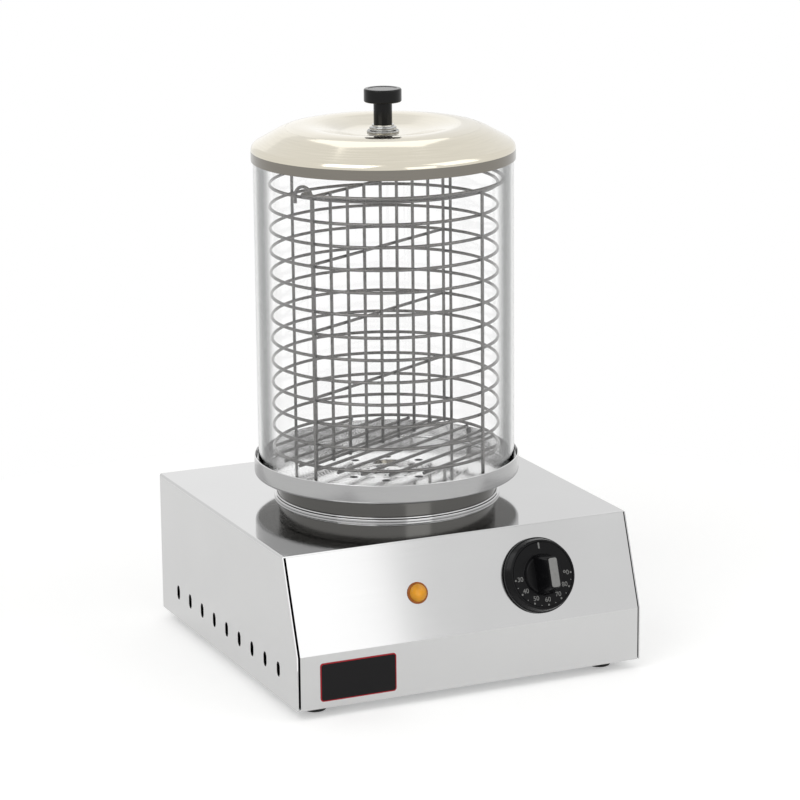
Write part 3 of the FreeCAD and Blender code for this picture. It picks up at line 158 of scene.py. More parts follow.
class BasketSettings(bpy.types.PropertyGroup):
    """Wires of the basket."""

    wire: bpy.props.FloatProperty(
        name="Wire", description="Diameter of the rings, posts and grids", default=2.5 * MM, unit="LENGTH",
        precision=4)
    bail_wire: bpy.props.FloatProperty(
        name="Bail wire", description="Diameter of the bail", default=3.0 * MM, unit="LENGTH", precision=4)
    turn: bpy.props.FloatProperty(
        name="Turn", description="Angle of the divider from the front", default=math.radians(30),
        subtype="ANGLE")
    rings: bpy.props.IntProperty(name="Rings", description="Number of rings", default=13, min=2)
    floor_wires: bpy.props.IntProperty(
        name="Floor wires", description="Number of wires under the lowest ring", default=9, min=2)
    uprights: bpy.props.IntProperty(
        name="Divider uprights", description="Number of upright wires in the divider", default=9, min=2)
    hook_span: bpy.props.FloatProperty(
        name="Hook span", description="Width of the hooks on two posts", default=15.0 * MM, unit="LENGTH",
        precision=4)
    hook_drop: bpy.props.FloatProperty(
        name="Hook drop", description="Length of a hook's tip below its bow", default=5.5 * MM, unit="LENGTH",
        precision=4)


class ControlSettings(bpy.types.PropertyGroup):
    """Dial, lamp and nameplate."""

    dial_colour: bpy.props.StringProperty(
        name="Dial colour", description="sRGB hex of the moulded dial", default="#0C0C0D")
    print_colour: bpy.props.StringProperty(
        name="Print colour", description="sRGB hex of the dial's numbers", default="#8A8A88")
    lamp_colour: bpy.props.StringProperty(
        name="Lamp colour", description="sRGB hex of the lamp's lens", default="#FFAC0E")
    plate_colour: bpy.props.StringProperty(
        name="Plate colour", description="sRGB hex of the bare nameplate", default="#0B0A0C")
    plate_border: bpy.props.StringProperty(
        name="Border colour", description="sRGB hex of the nameplate's border", default="#B3202C")
    number_height: bpy.props.FloatProperty(
        name="Number height", description="Height of the dial's numbers", default=3.4 * MM, unit="LENGTH",
        precision=4)


class StudioSettings(bpy.types.PropertyGroup):
    """Camera and light of the studio."""

    yaw: bpy.props.FloatProperty(
        name="Yaw", description="Turn of the view to the right of +Y", default=math.radians(24.14),
        subtype="ANGLE")
    pitch: bpy.props.FloatProperty(
        name="Pitch", description="Downward tilt of the view", default=math.radians(13.93), subtype="ANGLE")
    roll: bpy.props.FloatProperty(
        name="Roll", description="Roll of the view", default=math.radians(-0.55), subtype="ANGLE")
    lens: bpy.props.FloatProperty(
        name="Lens", description="Focal length in millimetres on a 36 mm sensor", default=144.2)
    floor_colour: bpy.props.StringProperty(
        name="Floor colour", description="sRGB hex of the studio floor", default="#F4F4F3")
    floor_radius: bpy.props.FloatProperty(
        name="Floor radius", description="Radius of the round studio floor", default=0.62, unit="LENGTH")
    floor_glow: bpy.props.FloatProperty(
        name="Floor glow", description="What lifts the floor to white in view, in metal and in glass",
        default=0.30)
    world_level: bpy.props.FloatProperty(
        name="World level", description="Strength of the studio's even light on the object", default=0.6)
    key_power: bpy.props.FloatProperty(
        name="Key power", description="Watts of the softbox on the left", default=18.0, unit="POWER")
    fill_power: bpy.props.FloatProperty(
        name="Fill power", description="Watts of the softbox on the right", default=8.0, unit="POWER")
    low_power: bpy.props.FloatProperty(
        name="Low power", description="Watts of the front softbox, which the back and top ones follow",
        default=4.0, unit="POWER")


# Nodes of materials

def channels(hex_colour):
    """Red, green and blue of an sRGB hex colour, from 0 to 255."""
    return [int(hex_colour[place:place + 2], 16) for place in (1, 3, 5)]


def linear(hex_colour):
    """Turn an sRGB hex colour into Blender's linear colour."""
    shares = [channel / 255 for channel in channels(hex_colour)]
    return tuple(
        share / 12.92 if share <= 0.04045 else ((share + 0.055) / 1.055) ** 2.4 for share in shares) + (1.0,)


def shade(hex_colour, share):
    """A hex colour made darker or lighter by a share."""
    return "#" + "".join(f"{min(255, round(channel * share)):02X}" for channel in channels(hex_colour))


def add(tree, kind, inputs=None, **settings):
    """Add a node with its settings, values and links."""
    made = tree.nodes.new(kind)
    for name, value in settings.items():
        setattr(made, name, value)
    for name, value in (inputs or {}).items():
        if isinstance(value, bpy.types.NodeSocket):
            tree.links.new(value, made.inputs[name])
        else:
            made.inputs[name].default_value = value
    return made


def new_material(name, values):
    """A material, its tree and its shader with uniform values, and the object coordinates of its pattern."""
    material = bpy.data.materials.new(name)
    material.use_nodes = True
    tree = material.node_tree
    shader = tree.nodes["Principled BSDF"]
    for socket, value in values.items():
        shader.inputs[socket].default_value = value
    return material, tree, shader, add(tree, "ShaderNodeTexCoord").outputs["Object"]


def noise(tree, place, spacing, detail):
    """Noise whose spots lie a real distance apart."""
    made = add(tree, "ShaderNodeTexNoise", {"Vector": place, "Scale": 1 / spacing, "Detail": detail})
    return made.outputs["Fac"]


def lines(tree, place, spacings, detail):
    """Noise with its own spacing along X, Y and Z, which draws it out into lines."""
    scale = [1 / spacing for spacing in spacings]
    stretch = add(tree, "ShaderNodeMapping", {"Vector": place, "Scale": scale})
    return noise(tree, stretch.outputs["Vector"], 1.0, detail)


def colour_between(tree, shader, pattern, low_hex, high_hex):
    """Let a pattern move the base colour between two colours."""
    blend = add(tree, "ShaderNodeMix", {"Factor": pattern, "A": linear(low_hex), "B": linear(high_hex)},
                data_type="RGBA")
    tree.links.new(blend.outputs["Result"], shader.inputs["Base Color"])


def roughness_between(tree, shader, pattern, low, high):
    """Let a pattern move the roughness between two values."""
    spread = add(tree, "ShaderNodeMapRange", {"Value": pattern, "To Min": low, "To Max": high})
    tree.links.new(spread.outputs["Result"], shader.inputs["Roughness"])


def bump_from(tree, shader, pattern, height):
    """Let a pattern raise the surface by a real height in metres."""
    bump = add(tree, "ShaderNodeBump", {"Height": pattern, "Distance": height, "Strength": 1.0})
    tree.links.new(bump.outputs["Normal"], shader.inputs["Normal"])


def joined(tree, way, first, second):
    """Two values joined by a sum, a product or the larger one."""
    return add(tree, "ShaderNodeMath", {0: first, 1: second}, operation=way).outputs["Value"]


def seen(tree):
    """1 for rays that show the background: from the camera, off metal and through glass."""
    path = add(tree, "ShaderNodeLightPath")
    mirrored = joined(tree, "MAXIMUM", path.outputs["Is Glossy Ray"], path.outputs["Is Transmission Ray"])
    return joined(tree, "MAXIMUM", path.outputs["Is Camera Ray"], mirrored)


# Shapes

def mesh_of(name, bm):
    """Turn a finished bmesh into a mesh."""
    mesh = bpy.data.meshes.new(name)
    bm.to_mesh(mesh)
    bm.free()
    return mesh


def settle(name, bm, finish, body, nodes=(), smooth=35.0):
    """Make a finished bmesh a piece of the steamer that rides on a body."""
    bmesh.ops.remove_doubles(bm, verts=bm.verts, dist=MERGE)
    bmesh.ops.recalc_face_normals(bm, faces=bm.faces)
    mesh = mesh_of(name, bm)
    mesh.materials.append(FINISHES[finish])
    mesh.shade_smooth()
    mesh.set_sharp_from_angle(angle=math.radians(smooth))
    piece = bpy.data.objects.new(name, mesh)
    bpy.context.collection.objects.link(piece)
    even = piece.modifiers.new("even_normals", "WEIGHTED_NORMAL")
    even.keep_sharp = True
    even.weight = 100
    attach(piece, body)
    if nodes:
        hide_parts(*nodes)
    return piece


def refinish(piece, finish, chosen):
    """Give another finish to the faces of a piece that a test chooses."""
    piece.data.materials.append(FINISHES[finish])
    for face in piece.data.polygons:
        if chosen(face):
            face.material_index = len(piece.data.materials) - 1


def out_from_boiler(face):
    """How far a face lies from the boiler's axis."""
    return (face.center - BOILER).xy.length


def profile(rows, base=0.0, radius=0.0):
    """Corners from rows in millimetres: out from a radius, up from a base, and any rounding."""
    return [(radius + out * MM, base + up * MM, *(size * MM for size in sizes)) for out, up, *sizes in rows]


def rounded(corners, steps=4):
    """Round the corners of a profile. A corner is (r, z) or (r, z, radius)."""
    points = []
    for index, corner in enumerate(corners):
        spot = Vector(corner[:2])
        if len(corner) == 2:
            points.append(spot)
            continue
        before = (Vector(corners[index - 1][:2]) - spot).normalized()
        after = (Vector(corners[(index + 1) % len(corners)][:2]) - spot).normalized()
        half = before.angle(after) / 2
        reach = corner[2] / math.tan(half)
        centre = spot + (before + after).normalized() * (corner[2] / math.sin(half))
        first = spot + before * reach - centre
        last = spot + after * reach - centre
        turn = first.angle_signed(last)
        for step in range(steps + 1):
            points.append(centre + Matrix.Rotation(-turn * step / steps, 2) @ first)
    return points


def lathe(bm, corners, steps):
    """Spin a profile about the upright axis. One that starts on the axis isn't closed there."""
    verts = [bm.verts.new((spot.x, 0.0, spot.y)) for spot in rounded(corners)]
    edges = [bm.edges.new(pair) for pair in zip(verts, verts[1:])]
    if corners[0][0] > 0:
        edges.append(bm.edges.new((verts[-1], verts[0])))
    bmesh.ops.spin(bm, geom=verts + edges, cent=(0, 0, 0), axis=(0, 0, 1), angle=math.tau, steps=steps,
                   use_merge=True)
    bmesh.ops.remove_doubles(bm, verts=bm.verts, dist=MERGE)


def move(bm, matrix):
    """Move a whole bmesh."""
    bmesh.ops.transform(bm, matrix=matrix, verts=bm.verts)


def turned(name, corners, steps, finish, body, node, smooth=35.0, stand=None):
    """A lathed piece in place of a CAD node, on the boiler's axis unless it has its own stand."""
    bm = bmesh.new()
    lathe(bm, corners, steps)
    move(bm, stand or Matrix.Translation(BOILER))
    return settle(name, bm, finish, body, [node], smooth)


def soften(bm, edges, offset, segments, **more):
    """Bevel edges of a bmesh."""
    bmesh.ops.bevel(bm, geom=list(edges), offset=offset, affect="EDGES", segments=segments, profile=0.5,
                    material=-1, **more)


def along(edges, axis, least):
    """The edges that run further than a length along an axis."""
    return [edge for edge in edges if abs(edge.verts[0].co[axis] - edge.verts[1].co[axis]) > least]


def above(bm, height):
    """The edges of a bmesh that lie above a height."""
    return [edge for edge in bm.edges if min(vert.co.z for vert in edge.verts) > height]


def rod(bm, start, finish, diameter):
    """A straight round wire between two places, with its ends broken."""
    start = Vector(start)
    finish = Vector(finish)
    way = finish - start
    turn = way.to_track_quat("Z", "Y").to_matrix().to_4x4()
    made = bmesh.ops.create_cone(
        bm, cap_ends=True, segments=12, radius1=diameter / 2, radius2=diameter / 2, depth=way.length,
        matrix=Matrix.Translation((start + finish) / 2) @ turn)
    ends = {edge for vert in made["verts"] for edge in vert.link_edges if len(edge.link_faces) == 2
            and edge.calc_face_angle() > math.radians(60)}
    soften(bm, ends, diameter * 0.12, 1)


def bow(centre, across, up, radius, start, stop, steps):
    """Stops of an arc on a bezier line, with their handles. Angles are in degrees from across to up."""
    centre, across, up = Vector(centre), Vector(across), Vector(up)
    part = math.radians(stop - start) / steps
    handle = 4 / 3 * math.tan(part / 4) * radius
    stops = []
    for step in range(steps + 1):
        angle = math.radians(start) + part * step
        spot = centre + radius * (math.cos(angle) * across + math.sin(angle) * up)
        way = (math.cos(angle) * up - math.sin(angle) * across) * handle
        stops.append((spot, spot - way if step else spot, spot + way if step < steps else spot))
    return stops


def straight(*spots):
    """Stops of straight runs on a bezier line."""
    return [(Vector(spot),) * 3 for spot in spots]


def pour(bm, curve, matrix=Matrix()):
    """Add the surface of a curve or a text to a bmesh in place of the curve."""
    holder = bpy.data.objects.new("holder", curve)
    mesh = bpy.data.meshes.new_from_object(holder)
    mesh.transform(matrix)
    bm.from_mesh(mesh)
    bpy.data.objects.remove(holder)
    bpy.data.curves.remove(curve)
    bpy.data.meshes.remove(mesh)


def bent_wire(bm, stops, diameter, resolution=8):
    """Add a round wire along a bezier line to a bmesh."""
    line = bpy.data.curves.new("wire_line", "CURVE")
    line.dimensions = "3D"
    line.bevel_depth = diameter / 2
    line.bevel_resolution = 3
    line.use_fill_caps = True
    line.resolution_u = resolution
    spline = line.splines.new("BEZIER")
    spline.bezier_points.add(len(stops) - 1)
    for point, (spot, left, right) in zip(spline.bezier_points, stops):
        point.handle_left_type = point.handle_right_type = "FREE"
        point.co = spot
        point.handle_left = left
        point.handle_right = right
    pour(bm, line)


def cad_copy(node, bevel):
    """A merged copy of a CAD node's mesh with its sharp edges broken, and the edges of its folds."""
    bm = bmesh.new()
    bm.from_mesh(frame["nodes"][node].data)
    bmesh.ops.remove_doubles(bm, verts=bm.verts, dist=MERGE)
    bmesh.ops.dissolve_limit(bm, angle_limit=math.radians(1), verts=bm.verts, edges=bm.edges)
    sharp_angle, fold_angle, large_face = math.radians(30), math.radians(10), 4e-4
    sharp = [edge for edge in bm.edges if len(edge.link_faces) == 2 and (
        edge.calc_face_angle() > sharp_angle
        or edge.calc_face_angle() > fold_angle
        and min(face.calc_area() for face in edge.link_faces) > large_face)]
    soften(bm, sharp, bevel, 2, clamp_overlap=True)
    return bm


def cut_away(piece, cutter):
    """Cut one piece by another shape, which goes."""
    cutter_mesh = mesh_of("cutter", cutter)
    tool = bpy.data.objects.new("cutter", cutter_mesh)
    bpy.context.collection.objects.link(tool)
    cut = piece.modifiers.new("cut", "BOOLEAN")
    cut.operation = "DIFFERENCE"
    cut.solver = "EXACT"
    cut.object = tool
    result = bpy.data.meshes.new_from_object(piece.evaluated_get(bpy.context.evaluated_depsgraph_get()))
    piece.modifiers.remove(cut)
    old = piece.data
    piece.data = result
    result.name = old.name
    bpy.data.meshes.remove(old)
    bpy.data.objects.remove(tool)
    bpy.data.meshes.remove(cutter_mesh)


def dial_frame():
    """Matrix that stands a shape on the dial's axis: Z out of the sloped panel, and Y up along it."""
    outward = -Vector(JOINTS["dial_turn"]["axis"]).normalized()
    across = Vector((1, 0, 0))
    matrix = Matrix((across, outward.cross(across), outward)).transposed().to_4x4()
    matrix.translation = Vector(JOINTS["dial_turn"]["pos_m"])
    return matrix


# Materials

def polished_sheet(name, hex_colour, grain, low, high, way):
    """Stainless sheet polished with a fine belt: a soft mirror with faint lines along one way."""
    material, tree, shader, place = new_material(name, {"Metallic": 1.0})
    spacings = [grain] * 3
    spacings[way] = 60 * MM
    belt = lines(tree, place, spacings, 3.0)
    smudge = noise(tree, place, 70 * MM, 4.0)
    colour_between(tree, shader, smudge, shade(hex_colour, 0.97), hex_colour)
    roughness_between(tree, shader, joined(tree, "MULTIPLY", belt, smudge), low, high)
    bump_from(tree, shader, belt, 0.001 * MM)
    return material


def drawn_steel(name, hex_colour, low, high):
    """Drawn and buffed stainless: rings of faint lines round its axis."""
    material, tree, shader, place = new_material(name, {"Metallic": 1.0})
    centred = add(tree, "ShaderNodeMapping", {"Vector": place, "Location": -BOILER})
    rings = add(tree, "ShaderNodeTexWave", {
        "Vector": centred.outputs["Vector"], "Scale": 1 / (9 * MM), "Distortion": 0.6, "Detail": 2.0},
        wave_type="RINGS", rings_direction="Z").outputs["Fac"]
    fine = lines(tree, place, (30 * MM, 30 * MM, 0.7 * MM), 3.0)
    colour_between(tree, shader, fine, shade(hex_colour, 0.94), hex_colour)
    roughness_between(tree, shader, joined(tree, "MULTIPLY", rings, fine), low, high)
    bump_from(tree, shader, fine, 0.0015 * MM)
    return material


def mottled_metal(name, hex_colour, low, high, spot, height, dark=0.85, detail=5.0):
    """Metal with a fine even mottle. Its spots and their height are in millimetres."""
    material, tree, shader, place = new_material(name, {"Metallic": 1.0})
    mottle = noise(tree, place, spot * MM, detail)
    colour_between(tree, shader, mottle, shade(hex_colour, dark), hex_colour)
    roughness_between(tree, shader, mottle, low, high)
    bump_from(tree, shader, mottle, height * MM)
    return material


def plated_wire(name, hex_colour):
    """Bright plated metal: mirror like, with small patches where the plating is thinner."""
    return mottled_metal(name, hex_colour, 0.06, 0.20, 8, 0.004, 0.82, 4.0)


def moulded(name, hex_colour, low, high, spot=0.5, gloss=0.5):
    """Moulded plastic or rubber: a fine even orange peel of spots in millimetres, with a soft gloss."""
    material, tree, shader, place = new_material(name, {"Specular IOR Level": gloss})
    wear = noise(tree, place, 12 * MM, 4.0)
    colour_between(tree, shader, wear, hex_colour, shade(hex_colour, 1.35))
    roughness_between(tree, shader, wear, low, high)
    bump_from(tree, shader, noise(tree, place, spot * MM, 3.0), 0.006 * MM)
    return material


def clear_glass(name):
    """Drawn borosilicate tube: clear, a trace wavy along its length, and grey at its two edges as a painted
    reflection.
    """
    material, tree, shader, place = new_material(
        name, {"Roughness": 0.0, "IOR": 1.47, "Transmission Weight": 1.0})
    bump_from(tree, shader, lines(tree, place, (25 * MM, 25 * MM, 400 * MM), 1.0), 0.01 * MM)
    # Painted reflection: the base colour greys where the wall turns away from the eye.
    facing = add(tree, "ShaderNodeLayerWeight", {"Blend": 0.5})
    edge = add(tree, "ShaderNodeValToRGB", {"Fac": facing.outputs["Facing"]})
    stops = edge.color_ramp.elements
    stops.remove(stops[1])
    stops[0].position = GLASS_PAINTED_EDGES[0][0]
    stops[0].color = linear(GLASS_PAINTED_EDGES[0][1])
    for spot, hex_colour in GLASS_PAINTED_EDGES[1:]:
        stops.new(spot).color = linear(hex_colour)
    tree.links.new(edge.outputs["Color"], shader.inputs["Base Color"])
    return material


def amber_lens(name, hex_colour):
    """Amber polycarbonate: saturated and glossy, a little cloudy, and with painted shade that deepens it
    towards its rim.
    """
    material, tree, shader, place = new_material(name, {"IOR": 1.58, "Specular IOR Level": 0.32})
    cloud = noise(tree, place, 4 * MM, 2.0)
    away = add(tree, "ShaderNodeVectorMath", {0: place, 1: (LENS_LOW + LENS_HIGH) / 2}, operation="DISTANCE")
    rim_shade = add(tree, "ShaderNodeMapRange", {
        "Value": away.outputs["Value"], "From Min": 2 * MM, "From Max": 6.5 * MM})
    # The cloud moves the painted rim shade by up to 0.45 either way.
    pull = 0.45
    mixed = add(tree, "ShaderNodeMath", {0: cloud, 1: 2 * pull, 2: rim_shade.outputs["Result"]},
                operation="MULTIPLY_ADD")
    depth = add(tree, "ShaderNodeMath", {0: mixed.outputs["Value"], 1: pull}, operation="SUBTRACT",
                use_clamp=True)
    # Painted shade: the lens darkens by distance from its centre.
    colour_between(tree, shader, depth.outputs["Value"], hex_colour, shade(hex_colour, 0.80))
    roughness_between(tree, shader, cloud, 0.06, 0.16)
    return material


def printed(name, hex_colour):
    """Screen printed ink or enamel: flat, slightly uneven."""
    material, tree, shader, place = new_material(name, {"Specular IOR Level": 0.2})
    grain = noise(tree, place, 0.8 * MM, 3.0)
    colour_between(tree, shader, grain, shade(hex_colour, 0.88), hex_colour)
    roughness_between(tree, shader, grain, 0.35, 0.5)
    return material


FINISHES = {}


def make_finishes(scene):
    """Build every material once, with its colour and the range of its roughness."""
    steel = scene.steamer_steel
    controls = scene.steamer_controls
    FINISHES.update({
        "sheet": polished_sheet("polished_stainless_sheet", steel.sheet_colour, steel.grain, 0.07, 0.16, 0),
        "side": polished_sheet("polished_stainless_cover", steel.sheet_colour, steel.grain, 0.05, 0.13, 1),
        # The pan's darker steel is painted shade.
        "pan": drawn_steel("pan_steel_painted_shade", steel.dulled_colour, 0.14, 0.26),
        # The rim band's darker steel is a painted reflection.
        "rolled": drawn_steel("lid_rim_painted_reflection", steel.edge_colour, 0.16, 0.28),
        "tray": drawn_steel("drawn_stainless_tray", steel.drawn_colour, 0.14, 0.30),
        # Painted light: a lighter copy of the tray steel for the deck and the wall's inside.
        "deck": drawn_steel("stainless_deck_painted_light", "#ECECEC", 0.08, 0.20),
        "lid": drawn_steel("buffed_stainless_lid", steel.lid_colour, 0.09, 0.20),
        "wire": plated_wire("bright_plated_wire", steel.wire_colour),
        "collar": plated_wire("bright_chrome", "#C6C6C4"),
        "zinc": mottled_metal("zinc_plated_sheet", "#A3A6A8", 0.35, 0.5, 3, 0.01),
        "screw": mottled_metal("plated_steel_screws", "#A9A9A7", 0.25, 0.4, 1, 0.005),
        "cast": mottled_metal("cast_aluminium_element", "#B5B5B3", 0.45, 0.65, 1.2, 0.05),
        "brass": mottled_metal("plain_brass", "#B9974E", 0.25, 0.4, 1, 0.005),
        "tube": mottled_metal("satin_stainless_tube", "#A8A6A2", 0.25, 0.4, 1, 0.004),
        "rubber": moulded("moulded_rubber", "#161616", 0.55, 0.75, 0.8),
        "nylon": moulded("moulded_nylon", "#1C1C1D", 0.40, 0.55),
        "dial": moulded("moulded_thermoset", controls.dial_colour, 0.16, 0.28, gloss=0.13),
        "knob": moulded("moulded_thermoset_knob", "#0F0F0F", 0.10, 0.20, gloss=0.2),
        "print": printed("printed_numbers", controls.print_colour),
        "inlay": mottled_metal("satin_grey_inlay", "#828280", 0.30, 0.42, 2, 0.003),
        "bezel": moulded("moulded_amber_bezel", "#83470A", 0.15, 0.25, gloss=0.3),
        "plate": printed("enamelled_plate", controls.plate_colour),
        "border": printed("printed_border", controls.plate_border),
        "lamp": amber_lens("amber_polycarbonate", controls.lamp_colour),
        "glass": clear_glass("clear_borosilicate_glass"),
    })


FINISH_NODES = {
    "screw": "housing_screws foot_studs foot_nuts clamp_stud clamp_nut thermostat_screws thermostat_spindle"
             " lid_knob_screw",
    "nylon": "overheat_cutout terminal_block gland_nut thermostat_body lamp_body cable_gland",
    "wire": "basket_rings basket_posts basket_floor divider_grid basket_bail",
    "sheet": "rear_panel front_panel", "side": "housing_cover", "rubber": "rubber_feet", "pan": "boiler_pan",
    "zinc": "base_plate element_clamp_plate", "cast": "heating_element", "brass": "earth_stud",
    "tube": "thermostat_bulb capillary_tube", "dial": "thermostat_knob", "bezel": "lamp_bezel",
    "lamp": "lamp_lens", "tray": "steam_tray", "glass": "glass_cylinder", "lid": "lid", "knob": "lid_knob",
    "collar": "lid_knob_collar",
}


# Pieces

class STEAMER_OT_finishes(bpy.types.Operator):
    """Build the materials and give every CAD node its own"""

    bl_idname = "steamer.finishes"
    bl_label = "Finishes"

    def execute(self, context):
        make_finishes(context.scene)
        for finish, nodes in FINISH_NODES.items():
            for node in nodes.split():
                data = frame["nodes"][node].data
                data.materials.clear()
                data.materials.append(FINISHES[finish])
        return {"FINISHED"}


class STEAMER_OT_housing(bpy.types.Operator):
    """Folded sheets of the housing with their edges broken, and the rubber feet"""

    bl_idname = "steamer.housing"
    bl_label = "Housing"

    def execute(self, context):
        bevel = context.scene.steamer_steel.edge_bevel
        for node, finish in (("housing_cover", "side"), ("front_panel", "sheet"), ("rear_panel", "sheet")):
            sheet = cad_copy(node, bevel)
            if node == "front_panel":
                # The panel lies to the right in its clearance, so that its gap shows on the left.
                move(sheet, Matrix.Translation((PANEL_SHIFT, 0, 0)))
            settle(node + "_sheet", sheet, finish, "base", [node])
        corners = profile([(0, 0), (8.4, 0, 1.2)])
        corners += profile([(9.9, -1.2, 0.8), (9.9, 0), (0, 0)], FEET_HIGH.z)
        feet = bmesh.new()
        for left, front in ((-1, -1), (-1, 1), (1, -1), (1, 1)):
            foot = bmesh.new()
            lathe(foot, corners, 48)
            move(foot, Matrix.Translation((
                left * (FEET_HIGH.x - FOOT_INSET), front * (FEET_HIGH.y - FOOT_INSET), 0)))
            mesh = mesh_of("foot", foot)
            feet.from_mesh(mesh)
            bpy.data.meshes.remove(mesh)
        settle("rubber_feet_round", feet, "rubber", "base", ["rubber_feet"])
        return {"FINISHED"}


class STEAMER_OT_pan(bpy.types.Operator):
    """Boiler pan with its pressed flange"""

    bl_idname = "steamer.pan"
    bl_label = "Boiler pan"

    def execute(self, context):
        # The sheet is 1 mm thick, and the flange lies on the cover.
        low, high, seat = PAN_LOW.z, PAN_HIGH.z, COVER_HIGH.z
        bottom = [(0.0, low)] + profile([(-6, 0), (0, 6)], low, PAN_RADIUS)
        flange = profile([
            (0, 0), (3.4, 0, 0.4), (3.4, 2.0, 0.9), (2.0, 2.4, 0.3), (1.8, 3.5, 0.7), (0, 3.5, 0.3)],
            seat, PAN_RADIUS)
        lip = profile([(0, -0.4), (-0.4, 0), (-1, 0)], high, PAN_RADIUS)
        inside = profile([(-1, 6.4), (-6.4, 1)], low, PAN_RADIUS) + [(0.0, low + 1 * MM)]
        # The pan body gets the darker steel, which is painted shade on its neck.
        pan = turned("boiler_pan_drawn", bottom + flange + lip + inside, 128, "pan", "base",
                     "boiler_pan")
        # Painted highlight: the flange's outer faces get the lighter sheet steel, which makes bright rings
        # round the pan's neck.
        refinish(pan, "sheet", lambda face: seat < face.center.z < seat + PAN_FLANGE_HEIGHT
                 and out_from_boiler(face) > PAN_RADIUS)
        return {"FINISHED"}


class STEAMER_OT_tray(bpy.types.Operator):
    """Steam tray with its wall, dish, collar and steam holes"""

    bl_idname = "steamer.tray"
    bl_label = "Steam tray"

    def execute(self, context):
        outer = (TRAY_HIGH.x - TRAY_LOW.x) / 2
        inner = outer - TRAY_SHEET
        top = TRAY_HIGH.z
        floor = GLASS_LOW.z
        under = floor - TRAY_SHEET
        collar, collar_inner, collar_low = TRAY_COLLAR_RADIUS, TRAY_COLLAR_RADIUS - TRAY_SHEET, TRAY_LOW.z
        dish_low = under - TRAY_DISH_DEPTH
        dish_floor = dish_low + TRAY_SHEET
        dish_out = profile([(-3, 0, 1.5)], dish_low, TRAY_DISH_RADIUS)
        dish_out += profile([(0, 0, 1.5)], under, TRAY_DISH_RADIUS)
        rim = [(outer, under, 2.2 * MM), (outer, top, 0.45 * MM), (inner, top, 0.45 * MM),
               (inner, floor, 1.2 * MM)]
        dish_in = profile([(-0.4, 0, 1.5)], floor, TRAY_DISH_RADIUS)
        dish_in += profile([(-3.4, 0, 1.5)], dish_floor, TRAY_DISH_RADIUS)
        tray = turned("steam_tray_drawn", [
            (0.0, dish_low), *dish_out, (collar_inner, under), (collar_inner, collar_low),
            (collar, collar_low), (collar, under), *rim, *dish_in, (0.0, dish_floor)],
            144, "tray", "tray", "steam_tray", 40.0)
        cutter = bmesh.new()
        for ring, count, turn, radius, segments, height in (
                (35.5 * MM, 8, -114.6, 3.3 * MM, 32, floor), (9 * MM, 6, 0, 1.3 * MM, 20, dish_floor),
                (18 * MM, 12, 0, 1.3 * MM, 20, dish_floor)):
            for index in range(count):
                angle = math.radians(turn + 360 * index / count)
                spot = BOILER + Vector((math.cos(angle), math.sin(angle), 0)) * ring
                spot.z = height - TRAY_SHEET / 2
                bmesh.ops.create_cone(cutter, cap_ends=True, segments=segments, radius1=radius,
                                      radius2=radius, depth=4 * MM, matrix=Matrix.Translation(spot))
        cut_away(tray, cutter)

        def on_deck(face):
            """The deck and the dish from above, and the wall from inside, which get a lighter copy of the
            tray steel as painted light.
            """
            from_above = face.normal.z > 0.3 and out_from_boiler(face) < outer
            inside = face.center.z > floor and out_from_boiler(face) < outer - 0.7 * MM
            return face.center.z > floor - 5 * MM and (from_above or inside)

        # Painted light: the deck and the wall's inside get the lighter copy of the tray steel.
        refinish(tray, "deck", on_deck)
        # Painted shade: the tray's underside gets the pan's darker steel.
        refinish(tray, "pan", lambda face: face.center.z < under + 0.3 * MM
                 and out_from_boiler(face) < outer - 2.4 * MM and not on_deck(face))
        return {"FINISHED"}


class STEAMER_OT_glass(bpy.types.Operator):
    """Glass cylinder with ground edges"""

    bl_idname = "steamer.glass"
    bl_label = "Glass cylinder"

    def execute(self, context):
        turned("glass_tube", [
            (GLASS_BORE, GLASS_LOW.z, 0.4 * MM), (GLASS_RADIUS, GLASS_LOW.z, 0.4 * MM),
            (GLASS_RADIUS, GLASS_HIGH.z, 0.6 * MM), (GLASS_BORE, GLASS_HIGH.z, 0.6 * MM)],
            192, "glass", "glass", "glass_cylinder")
        return {"FINISHED"}


